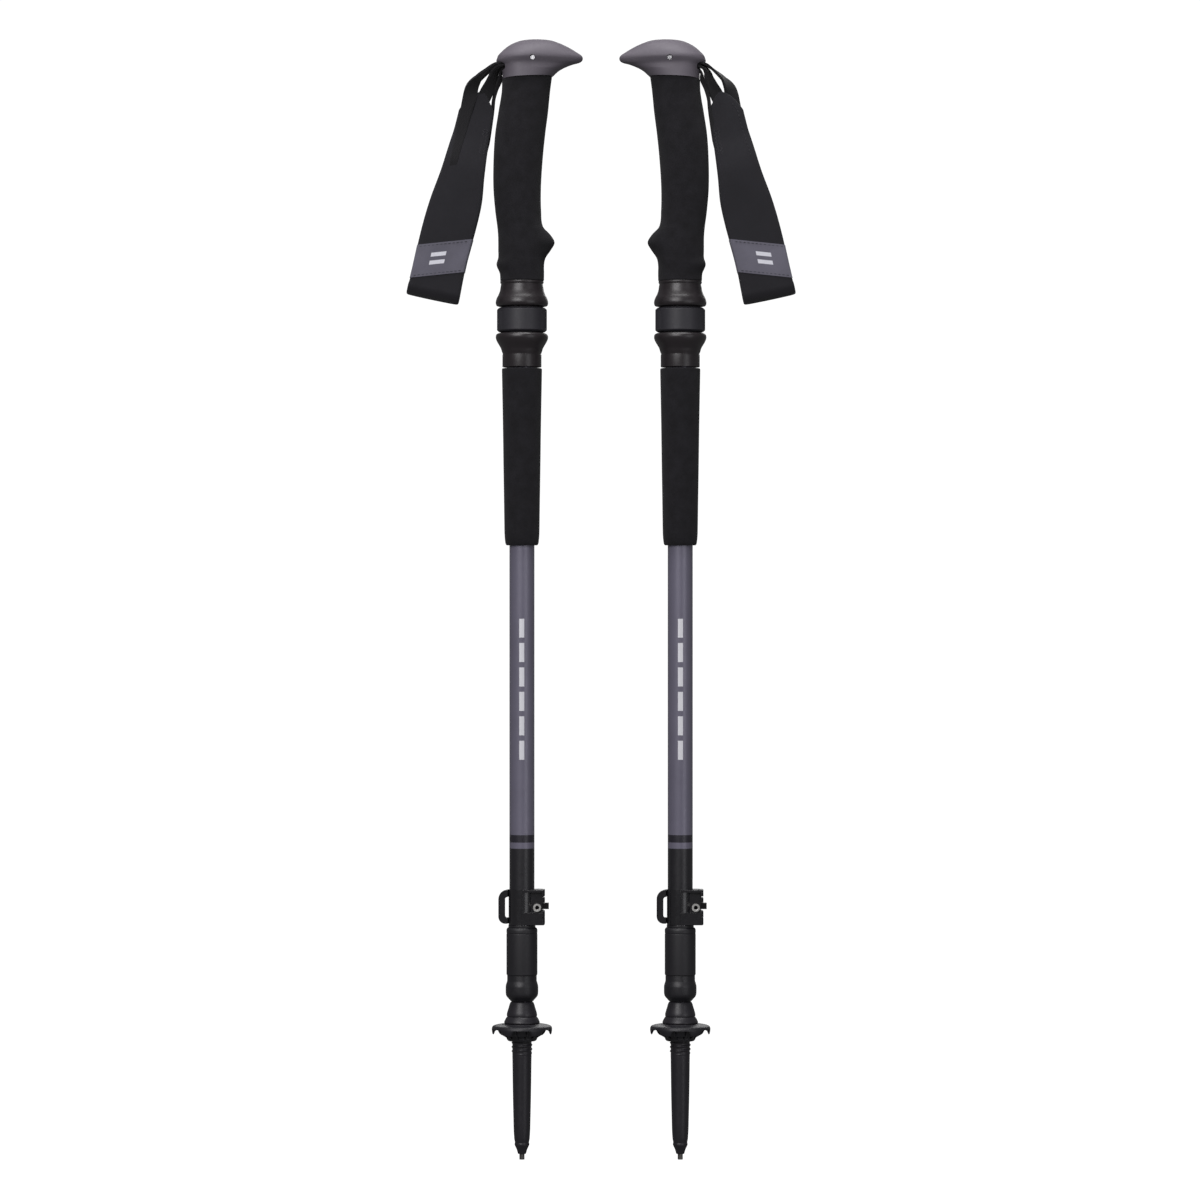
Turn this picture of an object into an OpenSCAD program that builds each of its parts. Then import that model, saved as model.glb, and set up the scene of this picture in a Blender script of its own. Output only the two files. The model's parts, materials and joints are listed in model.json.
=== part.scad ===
// A pair of three-section trekking poles, collapsed and upright on their tips.
// Millimetres, +Z up. The origin is on the ground, midway between the two tips.
// Every part is drawn on its own pole's axis, and then placed on the left or the right pole.

/* [Pair] */
// Distance between the axes of the two poles
pole_spacing = 101.3; // [100:0.1:160]

/* [Tubes] */
// Outside diameter of the upper shaft
upper_d = 16; // [15.8:0.1:16.2]
// Outside diameter of the middle shaft
middle_d = 14; // [13.8:0.1:14]
// Outside diameter of the lower shaft
lower_d = 12; // [11.8:0.1:12]
// Wall of the upper shaft
upper_wall = 0.7; // [0.6:0.05:0.7]
// Wall of the middle and lower shafts
inner_wall = 0.6; // [0.5:0.05:0.6]
// Radial clearance of every running fit
running_gap = 0.05; // [0.02:0.01:0.08]
// Radial gap of every glued fit
glue_gap = 0.02; // [0.01:0.01:0.03]

/* [Heights above the ground] */
// Lowest end of the upper shaft and its clamp
clamp_z = 150.4; // [150.4:0.1:150.6]
// Top of the clamp
clamp_top_z = 172.9; // [172:0.1:174]
// Bottom of the foam sleeve on the upper shaft
sleeve_z = 393; // [380:1:400]
// Top of the foam sleeve
sleeve_top_z = 506.2; // [500:0.1:506.8]
// Bottom of the foam grip
foam_z = 562; // [562:0.1:562.5]
// Joint between the foam grip and the head
head_z = 692; // [691:0.1:693]
// Highest point of the head
head_top_z = 716.8; // [716:0.1:718]

/* [Basket and tip] */
// Diameter of the basket
basket_d = 38.6; // [36:0.1:40]
// Diameter of the carbide tip
carbide_d = 3.3; // [3:0.1:3.6]

/* [Strap] */
// Angle between the hanging strap and the pole
strap_lean = 12; // [10:1:14]
// Half of the space between the strap's two layers
strap_gap = 4.2; // [3.5:0.1:5]
// Thickness of one padded layer
strap_wall = 2.8; // [2.2:0.1:3.2]

/* [Hidden] */
BASES = ["pommel", "grip_core", "foam_grip", "grip_collar", "strap_pin", "strap_webbing", "strap_pad",
    "upper_shaft", "shaft_collar", "foam_sleeve", "shock_ring", "shock_spring", "guide_rod",
    "clamp_band", "clamp_insert", "barrel_nut", "clamp_lever", "tension_screw",
    "middle_shaft", "middle_bush", "lock_housing", "lock_pawls", "collar_spring", "lock_collar",
    "lower_shaft", "lower_bush", "tip_body", "carbide_tip", "basket"];

round_fn = 96;
small_fn = 48;
far = 100;

// Tube radii, outer and inner
upper_r = upper_d / 2;
upper_in = upper_r - upper_wall;
middle_r = middle_d / 2;
middle_in = middle_r - inner_wall;
lower_r = lower_d / 2;
lower_in = lower_r - inner_wall;

// Ends of the tubes along the pole
upper_top = 590;
middle_z = 131;
middle_top = 560;
lower_z = 88.2;
lower_top = 500;
bush_h = 12;

// Grip core
core_r = 10.5;
core_top = 694;
spring_floor = 592;
spring_roof = 655;
chamber_r = 7.6;

// Head: sections from the skirt up, each [z, back, front, half width, centre]
head_rows = [
    [head_z, -12.6, 20.2, 15.4, 0],
    [696.5, -12.8, 24.8, 15.0, 0],
    [700.2, -13.8, 32.2, 14.7, 0],
    [701.6, -15.8, 36.4, 15.0, 0.5],
    [702.8, -16.4, 38.4, 15.5, 1],
    [704.5, -16.0, 39.0, 16.0, 2],
    [706.3, -15.3, 38.2, 15.9, 3],
    [709.0, -12.8, 34.2, 14.6, 5],
    [712.0, -9.3, 29.0, 12.0, 7],
    [714.5, -4.8, 23.2, 8.8, 8.5],
    [716.1, 1.6, 16.8, 5.0, 9],
    [head_top_z, 8.4, 9.6, 0.6, 9]];

// Foam grip: sections from the collar up, each [z, back, front, half width, centre]
foam_rows = [
    [foam_z, -13.9, 14.1, 13.7, 0],
    [567, -14.2, 14.2, 13.7, 0],
    [572.5, -16.3, 14.2, 14.0, 0],
    [577, -15.2, 15.2, 14.1, 0],
    [582, -15.2, 18.6, 14.2, 0],
    [586.7, -15.2, 20.9, 14.2, 0],
    [591.5, -15.3, 18.4, 14.1, 0],
    [597, -15.8, 13.5, 14.0, 0],
    [607, -17.1, 12.3, 14.1, 0],
    [622, -18.3, 12.2, 14.4, 0],
    [640, -18.2, 13.3, 14.7, 0],
    [656, -17.2, 14.9, 14.7, 0],
    [670, -15.1, 16.7, 14.4, 0],
    [683, -13.0, 18.0, 14.2, 0],
    [head_z, -12.7, 19.3, 14.4, 0]];

// Cross pin of the head, on which the strap webbing is looped
pin_x = 7;
pin_z = 703.7;
pin_r = 1.45;
pin_half = 14.4;

// Mouth of the strap slot at the back of the head, where the strap swings
mouth_x = -18.2;
mouth_z = 698;
slot_half = 8.6;
slot_h = 5;

// Collars and ring of the shock absorber
ring_z = 529.3;
ring_top = 545;
ring_r = 15.95;
ring_hub_r = 13;
collar_face_z = 528.6;
grip_face_z = 545.7;

// Clamp and lever
band_r = 8.55;
ear_end = 14.7;
rib_root = 12.9;
front_y = -8.9;
pocket_y = -6.1;
split = 1.2;
rear_ear_y = 4.3;
screw_x = 9.8;
screw_z = 161.6;
screw_r = 1.4;
pivot_y = 8.6;
nut_r = 2.4;
eye_r = 4;
lever_z = 150.9;
lever_top = 172.5;
lever_in = 9.1;
lever_out = 10.9;
window_z = 154.6;
window_top = 168;

// Quick-release housing and its collar, from the bottom up
housing_z = 101.4;
waist_z = 114.6;
collar_z = 118;
land_top = 130.1;
guide_z = 143.6;
collar_top = 148.5;
housing_top = 150.1;
waist_r = 9.45;
land_r = 8.65;
housing_core_r = 7.75;
guide_r = 8.25;
collar_r = 9.9;
collar_chamber_r = 9.2;
pawl_z = 127.5;
pawl_h = 2.4;
pawl_half = 3;

// Tip: seat of the basket and its thread
seat_z = 87.3;
hub_z = 75.8;
thread_z = 66.6;
thread_pitch = 2.7;
thread_r = 6.55;
thread_root = 6.15;
shank_r = 1.2;
shank_top = 13.9;

// Strap outline in its own frame: half widths left and right of the hang line, down from the mouth
strap_rows = [[20, 14.7, 5.6], [33, 15.3, 6.3], [51, 17.4, 7.1], [69, 19.2, 8.5], [87, 22.2, 10.4],
    [104, 23.6, 10.3], [129, 24.0, 8.9], [152, 24.7, 9.3]];
strap_end = 153;
strap_tongue = 16;
strap_split = 46;
strap_full = 62;

// ---------- outlines and surfaces ----------

// Points of an arc about a centre, from angle a to angle b
function arc(c, r, a, b, n = 6) =
    [for (i = [0:n]) let (t = a + (b - a) * i / n) [c[0] + r * cos(t), c[1] + r * sin(t)]];

// Index of the row below height z
function below(rows, z, i = 0) = i >= len(rows) - 2 || z < rows[i + 1][0] ? i : below(rows, z, i + 1);

// Slope of column c at row i
function slope(rows, i, c) =
    let (a = max(i - 1, 0), b = min(i + 1, len(rows) - 1))
    (rows[b][c] - rows[a][c]) / (rows[b][0] - rows[a][0]);

// Column c at height z, on a smooth curve through the rows
function smooth(rows, z, c) =
    let (i = below(rows, z), h = rows[i + 1][0] - rows[i][0], t = (z - rows[i][0]) / h)
    rows[i][c] * (2 * t^3 - 3 * t^2 + 1) + slope(rows, i, c) * h * (t^3 - 2 * t^2 + t)
    + rows[i + 1][c] * (3 * t^2 - 2 * t^3) + slope(rows, i + 1, c) * h * (t^3 - t^2);

// One oval section of a grip, with its own reach to the back and to the front
function oval(rows, z, n) =
    let (back = smooth(rows, z, 1), front = smooth(rows, z, 2), half = smooth(rows, z, 3),
        mid = smooth(rows, z, 4))
    [for (k = [0:n - 1]) let (a = 360 * k / n)
        [mid + (cos(a) > 0 ? front - mid : mid - back) * cos(a), half * sin(a), z]];

// Faces of a skin over m rings of n points
function skin_faces(m, n) = concat(
    [[for (k = [0:n - 1]) k]],
    [for (i = [0:m - 2]) for (k = [0:n - 1]) [i * n + k, (i + 1) * n + k, (i + 1) * n + (k + 1) % n]],
    [for (i = [0:m - 2]) for (k = [0:n - 1]) [i * n + k, (i + 1) * n + (k + 1) % n, i * n + (k + 1) % n]],
    [[for (k = [0:n - 1]) m * n - 1 - k]]);

module skin(rings) {
    polyhedron(points = [for (r = rings) each r], faces = skin_faces(len(rings), len(rings[0])));
}

// A smooth body through the rows, with levels sections of n points
module loft(rows, levels, n) {
    low = rows[0][0];
    high = rows[len(rows) - 1][0];
    skin([for (i = [0:levels]) oval(rows, low + (high - low) * i / levels, n)]);
}

// A body of revolution: outline points [r, z] from the bottom up, with a straight bore
module lathe(outline, bore, fn = round_fn) {
    rotate_extrude($fn = fn)
        polygon(concat(outline, [[bore, outline[len(outline) - 1][1]], [bore, outline[0][1]]]));
}

module tube(outer, inner, low, high, fn = round_fn) {
    lathe([[outer, low], [outer, high]], inner, fn);
}

module rod(r, low, high, fn = round_fn) {
    translate([0, 0, low]) cylinder(r = r, h = high - low, $fn = fn);
}

// A rod along Y at a given x and z
module cross_rod(r, x, z, y0, y1, fn = small_fn) {
    translate([x, y1, z]) rotate([90, 0, 0]) cylinder(r = r, h = y1 - y0, $fn = fn);
}

// A helical spring between two heights, with closed wire ends
module coil(mean_r, wire_r, low, high, turns, steps = 20, sides = 6) {
    total = turns * steps;
    rise = (high - low - 2 * wire_r) / total;
    skin([for (i = [0:total]) let (a = 360 * i / steps, z = low + wire_r + rise * i)
        [for (k = [0:sides - 1]) let (b = -360 * k / sides, r = mean_r + wire_r * cos(b))
            [r * cos(a), r * sin(a), z + wire_r * sin(b)]]]);
}

// ---------- grip ----------

module pommel() {
    color("#78757d") difference() {
        loft(head_rows, 16, 40);
        rod(core_r + glue_gap, head_z - 1, core_top + glue_gap);
        cross_rod(pin_r + running_gap, pin_x, pin_z, -far, far);
        strap_slot();
    }
}

// The slot from the back of the head to the space around the cross pin
module strap_slot() {
    run = pin_x - mouth_x;
    translate([mouth_x, -slot_half, mouth_z]) rotate([0, -atan((pin_z - mouth_z) / run), 0])
        translate([0, 0, -slot_h / 2]) cube([run, 2 * slot_half, slot_h]);
    cross_rod(4.5, pin_x, pin_z, -slot_half, slot_half);
}

module grip_core() {
    color("#2b2b2e") difference() {
        rod(core_r, foam_z, core_top);
        rod(upper_r + running_gap, foam_z - 1, spring_floor + 4);
        rod(chamber_r, spring_floor, spring_roof);
    }
}

module foam_grip() {
    color("#26262a") difference() {
        loft(foam_rows, 40, 32);
        rod(core_r + glue_gap, foam_z - 1, head_z + 1);
    }
}

module grip_collar() {
    color("#2f2c31") lathe(concat(
        [[14.6, grip_face_z]],
        arc([15.2, 547.2], 1.5, -60, 0),
        [[16.7, 549.2], [15.95, 551.4], [14.9, 553.3], [14.15, 555.4], [13.7, 558.6], [13.35, 560.2],
            [13.9, 560.6], [13.9, foam_z]]), upper_r + running_gap);
}

module strap_pin() {
    color("silver") cross_rod(pin_r, pin_x, pin_z, -pin_half, pin_half);
}

// ---------- strap ----------

// Puts a strap outline, drawn downwards from the mouth, in its place on the pole
module hang() {
    translate([mouth_x, 0, mouth_z]) rotate([0, strap_lean, 0]) children();
}

// Half of the strap's thickness at distance v below the mouth
function strap_half(v) =
    lookup(v, [[strap_tongue, 2.6], [34, 3.4], [strap_split, 4.4], [strap_full, strap_gap + strap_wall]]);

// Side view of the folded band, as [y, -v]
module band_profile() {
    reach = strap_gap + strap_wall;
    fold = strap_end - reach;
    levels = [strap_tongue, 34, strap_split, strap_full];
    difference() {
        polygon(concat(
            [for (v = levels) [strap_half(v), -v]],
            arc([0, -fold], reach, 0, -180, 16),
            [for (i = [3:-1:0]) [-strap_half(levels[i]), -levels[i]]]));
        polygon(concat(
            [[0, -strap_split], [strap_gap, -strap_full]],
            arc([0, -fold], strap_gap, 0, -180, 16),
            [[-strap_gap, -strap_full]]));
    }
}

// Front view of the band, as [u, -v], with a tongue at the top
module band_face() {
    last = len(strap_rows) - 1;
    polygon(concat(
        [[-9.5, -19], [-4.3, -strap_tongue - 0.2], [1.6, -17]],
        [for (row = strap_rows) [row[2], -row[0]]],
        [[strap_rows[last][2] - 1.5, -strap_end - 1], [-strap_rows[last][1] + 1.5, -strap_end - 1]],
        [for (i = [last:-1:0]) [-strap_rows[i][1], -strap_rows[i][0] - (i == 0 ? 3 : 0)]]));
}

module strap_pad() {
    color("#2c2b30") hang() intersection() {
        rotate([90, 0, 0]) linear_extrude(2 * far, center = true) band_face();
        rotate([90, 0, 90]) linear_extrude(2 * far, center = true) band_profile();
    }
}

// The webbing from the slot to the band: two strands about a teardrop gap
module strap_webbing() {
    outer = [[0.6, 2.2], [-1, 2], [-5.3, -1], [-11.8, -8.6], [-14, -16], [-15, -24]];
    inner = [[-4.3, -24], [4.4, -24], [3.2, -12], [2.3, -1], [1.6, 1.6]];
    gap = [[-1.4, -2.8], [-6.2, -5.6], [-9.8, -11.2], [-10.6, -15.4], [-5, -13.6]];
    color("#242427") difference() {
        hang() rotate([90, 0, 0]) linear_extrude(5, center = true) difference() {
            polygon(concat(outer, inner));
            polygon(gap);
        }
        hang() rotate([90, 0, 0]) linear_extrude(far, center = true) band_face();
    }
}

// ---------- upper shaft ----------

module upper_shaft() {
    slit_top = 178.4;
    color("#646170") difference() {
        tube(upper_r, upper_in, clamp_z, upper_top);
        translate([0, -0.6, clamp_z - 1]) cube([far, 1.2, slit_top - clamp_z + 1]);
        translate([0, 0, slit_top]) rotate([0, 90, 0]) cylinder(r = 1, h = far, $fn = small_fn);
    }
}

module shaft_collar() {
    color("#2f2c31") lathe(concat(
        [[12.5, 507], [12.5, 515], [12.35, 515.4], [12.9, 517.1], [13.55, 519], [14.75, 521],
            [15.85, 522.9], [16.65, 524.8], [16.75, 526.2]],
        arc([15.55, 526.9], 1.2, 0, 70, 4), [[15.3, collar_face_z]]), upper_r + glue_gap);
}

module foam_sleeve() {
    color("#28282c") lathe(concat(
        [[10.2, sleeve_z], [10.7, sleeve_z + 1.6], [11.1, sleeve_z + 6], [11.25, sleeve_z + 11]],
        [[11.5, 422], [11.8, 441], [12.2, 470], [12.85, sleeve_top_z - 0.4], [12.6, sleeve_top_z]]),
        upper_r + glue_gap);
}

// The rubber ring between the two collars, which shortens as the shock absorber works
module shock_ring() {
    edge = 1.4;
    color("#343439") lathe(concat(
        [[ring_hub_r, collar_face_z], [ring_hub_r, ring_z]],
        arc([ring_r - edge, ring_z + edge], edge, -90, 0),
        arc([ring_r - edge, ring_top - edge], edge, 0, 90),
        [[ring_hub_r, ring_top], [ring_hub_r, grip_face_z - 0.1]]), upper_r + 0.6);
}

module shock_spring() {
    color("silver") coil(5.6, 0.9, spring_floor + 0.1, spring_roof - 0.1, 9);
}

// The plug in the top of the upper shaft, and the rod that keeps the spring straight
module guide_rod() {
    color("#2b2b2e") union() {
        rod(upper_in - glue_gap, upper_top - 10, upper_top);
        rod(upper_in, upper_top, spring_floor);
        rod(3.4, spring_floor, spring_roof - 9, small_fn);
    }
}

// ---------- clamp ----------

// The front jaw holds the screw's head in a pocket, the rear jaw faces the lever
module clamp_band() {
    h = clamp_top_z - clamp_z;
    color("#242427") difference() {
        union() {
            difference() {
                translate([0, 0, clamp_z]) linear_extrude(h) front_jaw();
                translate([0.8, front_y - 1, 158.4]) cube([12.3, pocket_y - front_y + 1, 12.9]);
            }
            translate([0, 0, clamp_z]) linear_extrude(h)
                polygon([[6, split], [6, rear_ear_y], [ear_end - 0.8, rear_ear_y], [ear_end, rear_ear_y - 0.8],
                    [ear_end, split]]);
            tube(band_r, upper_r, clamp_z, clamp_top_z);
        }
        rod(upper_r + glue_gap, 0, 200);
        translate([3, -split, clamp_z - 1]) cube([far, 2 * split, h + 2]);
        for (groove = [[154.9, 0.6], [159.2, 5.6], [167.7, 1.1]])
            translate([rib_root, -far / 2, groove[0]]) cube([far, far, groove[1]]);
        cross_rod(screw_r + 0.3, screw_x, screw_z, pocket_y - 1, far);
        translate([0, 0, clamp_z]) rotate([0, 45, 0]) translate([ear_end * 0.707 - 0.4, -far / 2, 9.2])
            cube([far, far, far]);
    }
}

module front_jaw() {
    polygon([[0, front_y], [ear_end - 1.2, front_y], [ear_end, front_y + 1.2], [ear_end, -split], [4, -split],
        [0, -4]]);
}

module clamp_insert() {
    color("#3a3a3e") tube(upper_in - glue_gap, middle_r + running_gap, clamp_z, clamp_top_z);
}

// The barrel nut is the lever's pivot, and its middle block takes the screw
module barrel_nut() {
    color("#2a2a2d") difference() {
        translate([screw_x, pivot_y, 0]) union() {
            rod(nut_r, lever_z + 1, lever_top - 1, small_fn);
            translate([0, -nut_r + 0.1, screw_z - 1.9]) cube([17.1 - screw_x, 2 * nut_r - 0.2, 4]);
        }
        cross_rod(screw_r + running_gap, screw_x, screw_z, 0, far);
    }
}

// The lever lies against the shaft's far side, and its finger loop stands out on the left
module clamp_lever() {
    bar_x = -15.1;
    bar_in = -10.8;
    window_x = -8;
    color("#1f1f22") difference() {
        union() {
            sector(lever_in, lever_out, 50, 178, lever_z, lever_top);
            translate([screw_x, pivot_y, 0]) rod(eye_r, lever_z, lever_top, small_fn);
            translate([0, 0, lever_z]) linear_extrude(lever_top - lever_z)
                polygon([[-9.2, -1.8], [-9.2, 2.6], [bar_x + 1, 2.6], [bar_x, 1.6], [bar_x, -0.8], [bar_x + 1, -1.8]]);
        }
        translate([screw_x, pivot_y, 0]) rod(nut_r + running_gap, 0, 200, small_fn);
        translate([screw_x - 5, -far / 2, screw_z - 2.3]) cube([far, far, 4.8]);
        rotate([90, 0, 0]) linear_extrude(2 * far, center = true)
            polygon(concat([[window_x, window_z], [window_x, window_top]],
                arc([bar_in + 1.5, window_top - 1.5], 1.5, 90, 180, 4),
                arc([bar_in + 1.5, window_z + 1.5], 1.5, 180, 270, 4)));
        rotate([90, 0, 0]) linear_extrude(2 * far, center = true) difference() {
            translate([-far, 0]) square([far - 9, 200]);
            polygon(concat([[far, lever_z], [far, lever_top]],
                arc([bar_x + 6, lever_top - 6], 6, 90, 180, 8),
                arc([bar_x + 4.5, lever_z + 4.5], 4.5, 180, 270, 8)));
        }
    }
}

// Part of a ring between two angles under 180 degrees apart
module sector(inner, outer, a, b, low, high) {
    intersection() {
        tube(outer, inner, low, high);
        translate([0, 0, low]) linear_extrude(high - low)
            polygon([[0, 0], far * [cos(a), sin(a)], far * [cos((a + b) / 2), sin((a + b) / 2)],
                far * [cos(b), sin(b)]]);
    }
}

module tension_screw() {
    color("silver") difference() {
        union() {
            cross_rod(2.55, screw_x, screw_z, -8.6, pocket_y - 0.1);
            cross_rod(screw_r, screw_x, screw_z, pocket_y - 0.1, pivot_y + nut_r - 0.3);
        }
        cross_rod(1.45, screw_x, screw_z, -9, -7.2, 6);
    }
}

// ---------- middle shaft and quick release ----------

module middle_shaft() {
    color("#2e2e33") tube(middle_r, middle_in, middle_z, middle_top);
}

module bush(outer, spigot, inner, z) {
    color("#d8d8d4") union() {
        tube(outer, inner, z, z + bush_h);
        tube(spigot, inner, z - bush_h, z);
    }
}

module middle_bush() {
    bush(upper_in - running_gap, middle_in - glue_gap, 5, middle_top);
}

module lock_housing() {
    outline = concat(
        [[7.15, housing_z], [8.4, 103.4]],
        arc([8.2, 107.6], 2.25, -50, 0), [[10.45, 110.6]],
        arc([8.9, 110.9], 1.55, 10, 60, 4), [[waist_r, waist_z]],
        [[waist_r, collar_z], [land_r, collar_z], [land_r, land_top], [housing_core_r, land_top],
            [housing_core_r, guide_z], [guide_r, guide_z], [guide_r, collar_top + 0.1],
            [land_r, collar_top + 0.1], [land_r, housing_top]]);
    color("#26262a") difference() {
        lathe(outline, lower_r + running_gap);
        rod(middle_r + glue_gap, middle_z, housing_top + 1);
        pawl_pair(pawl_half + 0.05, far, 0.05);
    }
}

// Two blocks facing each other across the pole
module pawl_pair(half, reach, grow) {
    translate([-reach, -half, pawl_z - grow]) cube([2 * reach, 2 * half, pawl_h + 2 * grow]);
}

module lock_pawls() {
    color("silver") difference() {
        intersection() {
            pawl_pair(pawl_half, far, 0);
            rod(land_r - 0.05, 0, 200);
        }
        rod(lower_r + running_gap, 0, 200);
    }
}

module collar_spring() {
    color("silver") coil(8.48, 0.4, land_top + 0.1, guide_z - 0.1, 5, 24);
}

module lock_collar() {
    edge = 1.5;
    color("#26262a") difference() {
        lathe(concat(
            [[collar_r - 0.3, collar_z], [collar_r, collar_z + 0.3], [collar_r, 144.5], [collar_r - 0.25, 144.8],
                [collar_r, 145.1]],
            arc([collar_r - edge, collar_top - edge], edge, 0, 90)), guide_r + running_gap);
        rod(waist_r + running_gap, 0, 121.5);
        rod(land_r + running_gap, 0, land_top + 0.2);
        rod(collar_chamber_r, land_top + 0.2, guide_z + 0.3);
    }
}

// ---------- lower shaft, tip and basket ----------

module lower_shaft() {
    color("#2e2e33") tube(lower_r, lower_in, lower_z, lower_top);
}

module lower_bush() {
    bush(middle_in - running_gap, lower_in - glue_gap, 4, lower_top);
}

module tip_body() {
    socket_top = 101;
    color("#242427") difference() {
        union() {
            lathe([[0.9 + carbide_d / 2, 3.6], [2.85, 5.4], [3.7, 7.4], [4.7, 9.1], [4.7, 10.1], [4.5, 10.8],
                [4.95, 13.1], [5.3, 18.9], [5.75, 38], [5.95, 50], [thread_root, 66.2],
                [thread_root, seat_z], [11.4, seat_z], [11.4, 88], [10.5, 90], [9.4, 91.6],
                [9.7, 91.9], [9.6, 93.6], [8.95, 95.7], [8.35, 97.6], [7.9, 99.4], [6.9, socket_top]], 0);
            for (i = [0:6])
                lathe([[thread_root - 0.2, thread_z + thread_pitch * i], [thread_r, thread_z + thread_pitch * i + 0.7],
                    [thread_r, thread_z + thread_pitch * i + 1.1],
                    [thread_root - 0.2, thread_z + thread_pitch * i + 1.8]], 1);
        }
        rod(lower_r + glue_gap, lower_z, socket_top + 1);
        rod(shank_r + glue_gap, 0, shank_top + 0.1);
    }
}

// Free pin below the tip, a thinner shank inside it, and a hollow ground end
module carbide_tip() {
    free_end = 3.6;
    color("#8a8a8a") difference() {
        union() {
            rod(carbide_d / 2, 0, free_end, small_fn);
            rod(shank_r, free_end, shank_top, small_fn);
        }
        translate([0, 0, -0.01]) cylinder(r1 = 1.1, r2 = 0, h = 0.9, $fn = small_fn);
    }
}

// A dished disc on a threaded hub, with ribs below and a rim that curls down in teeth
module basket() {
    rim = basket_d / 2;
    ribs = 12;
    teeth = 6;
    color("#2c2b30") union() {
        difference() {
            lathe([[7.9, hub_z], [8.1, 76.6], [9.7, 78.2], [11.6, 79.2], [12.8, 80.3], [13.3, 81.8], [15, 83.4],
                [16.6, 83.9], [17.8, 82.4], [18.4, 80.8], [19, 80.7], [rim - 0.1, 82.4], [rim, 83.9],
                [rim - 0.5, 85], [rim - 2, 85.9], [15.6, 86.3], [12.6, 86.6], [11.6, 87]], thread_r + running_gap);
            for (i = [0:teeth - 1]) rotate([0, 0, 360 / teeth * (i + 0.5)]) rim_gap();
        }
        intersection() {
            for (i = [0:ribs - 1]) rotate([0, 0, 360 * (i + 0.5) / ribs]) translate([0, -0.5, hub_z])
                cube([rim, 1, 10]);
            lathe([[12, 79.6], [15.4, 81.6], [16.2, 84], [16.2, 85.4]], 9);
        }
    }
}

// Takes the curl away from the rim between two teeth, under the disc
module rim_gap() {
    half = 18;
    translate([0, 0, hub_z]) linear_extrude(83.8 - hub_z) difference() {
        polygon([[0, 0], far * [cos(half), -sin(half)], far * [cos(half), sin(half)]]);
        circle(r = 16.7, $fn = round_fn);
    }
}

// ---------- placing ----------

// Parts that look the same all round, and the clamp, which faces the same way on both poles
module on(side) {
    translate([side == "left" ? -pole_spacing / 2 : pole_spacing / 2, 0, 0]) children();
}

// Grips and straps, which are turned half round on the right pole
module facing(side) {
    on(side) rotate([0, 0, side == "left" ? 0 : 180]) children();
}

for (side = ["left", "right"]) {
    facing(side) pommel();
    facing(side) grip_core();
    facing(side) foam_grip();
    facing(side) grip_collar();
    facing(side) strap_pin();
    facing(side) strap_webbing();
    facing(side) strap_pad();
    on(side) upper_shaft();
    on(side) shaft_collar();
    on(side) foam_sleeve();
    on(side) shock_ring();
    on(side) shock_spring();
    on(side) guide_rod();
    on(side) clamp_band();
    on(side) clamp_insert();
    on(side) barrel_nut();
    on(side) clamp_lever();
    on(side) tension_screw();
    on(side) middle_shaft();
    on(side) middle_bush();
    on(side) lock_housing();
    on(side) lock_pawls();
    on(side) collar_spring();
    on(side) lock_collar();
    on(side) lower_shaft();
    on(side) lower_bush();
    on(side) tip_body();
    on(side) carbide_tip();
    on(side) basket();
}
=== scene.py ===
"""Looks of a pair of trekking poles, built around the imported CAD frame.

Lengths in the shape code are millimetres in the pole's own frame: z is height above the ground, x and y are
measured from the pole's axis, and the beak of the grip points along +x.
"""

import json
import math

import bmesh
import bpy
import numpy as np
from mathutils import Matrix, Vector

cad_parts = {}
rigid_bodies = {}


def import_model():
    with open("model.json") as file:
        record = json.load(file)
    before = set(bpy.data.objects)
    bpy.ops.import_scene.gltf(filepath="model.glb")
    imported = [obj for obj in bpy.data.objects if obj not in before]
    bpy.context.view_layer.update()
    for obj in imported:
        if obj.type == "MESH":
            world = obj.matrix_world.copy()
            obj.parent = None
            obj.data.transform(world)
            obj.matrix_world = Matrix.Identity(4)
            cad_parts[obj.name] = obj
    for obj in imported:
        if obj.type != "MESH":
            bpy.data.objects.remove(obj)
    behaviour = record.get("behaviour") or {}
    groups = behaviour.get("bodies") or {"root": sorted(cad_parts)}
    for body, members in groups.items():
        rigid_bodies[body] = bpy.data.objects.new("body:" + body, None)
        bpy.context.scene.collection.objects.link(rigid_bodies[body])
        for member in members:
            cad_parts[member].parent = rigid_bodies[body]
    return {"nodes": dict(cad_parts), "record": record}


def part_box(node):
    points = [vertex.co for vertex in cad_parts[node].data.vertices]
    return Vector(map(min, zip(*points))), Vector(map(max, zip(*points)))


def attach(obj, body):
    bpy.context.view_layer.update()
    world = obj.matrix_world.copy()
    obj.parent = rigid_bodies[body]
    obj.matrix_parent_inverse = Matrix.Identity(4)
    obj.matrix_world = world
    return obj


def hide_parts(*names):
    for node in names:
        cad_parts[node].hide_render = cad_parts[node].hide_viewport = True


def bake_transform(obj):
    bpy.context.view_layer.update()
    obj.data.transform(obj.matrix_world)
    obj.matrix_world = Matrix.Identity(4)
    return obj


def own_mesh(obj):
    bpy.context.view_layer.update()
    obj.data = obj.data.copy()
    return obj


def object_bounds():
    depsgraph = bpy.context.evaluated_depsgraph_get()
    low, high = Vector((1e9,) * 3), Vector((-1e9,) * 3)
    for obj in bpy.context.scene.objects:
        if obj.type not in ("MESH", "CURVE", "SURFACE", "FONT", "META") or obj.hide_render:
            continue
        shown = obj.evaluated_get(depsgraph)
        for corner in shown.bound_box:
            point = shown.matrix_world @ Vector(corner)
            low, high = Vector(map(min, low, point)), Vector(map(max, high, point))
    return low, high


for leftover in list(bpy.data.objects):
    bpy.data.objects.remove(leftover)

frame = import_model()
CAD_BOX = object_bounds()
NODES = frame["nodes"]
SIDES = ("left", "right")
MM = 0.001


# ---------- places ----------


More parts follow.
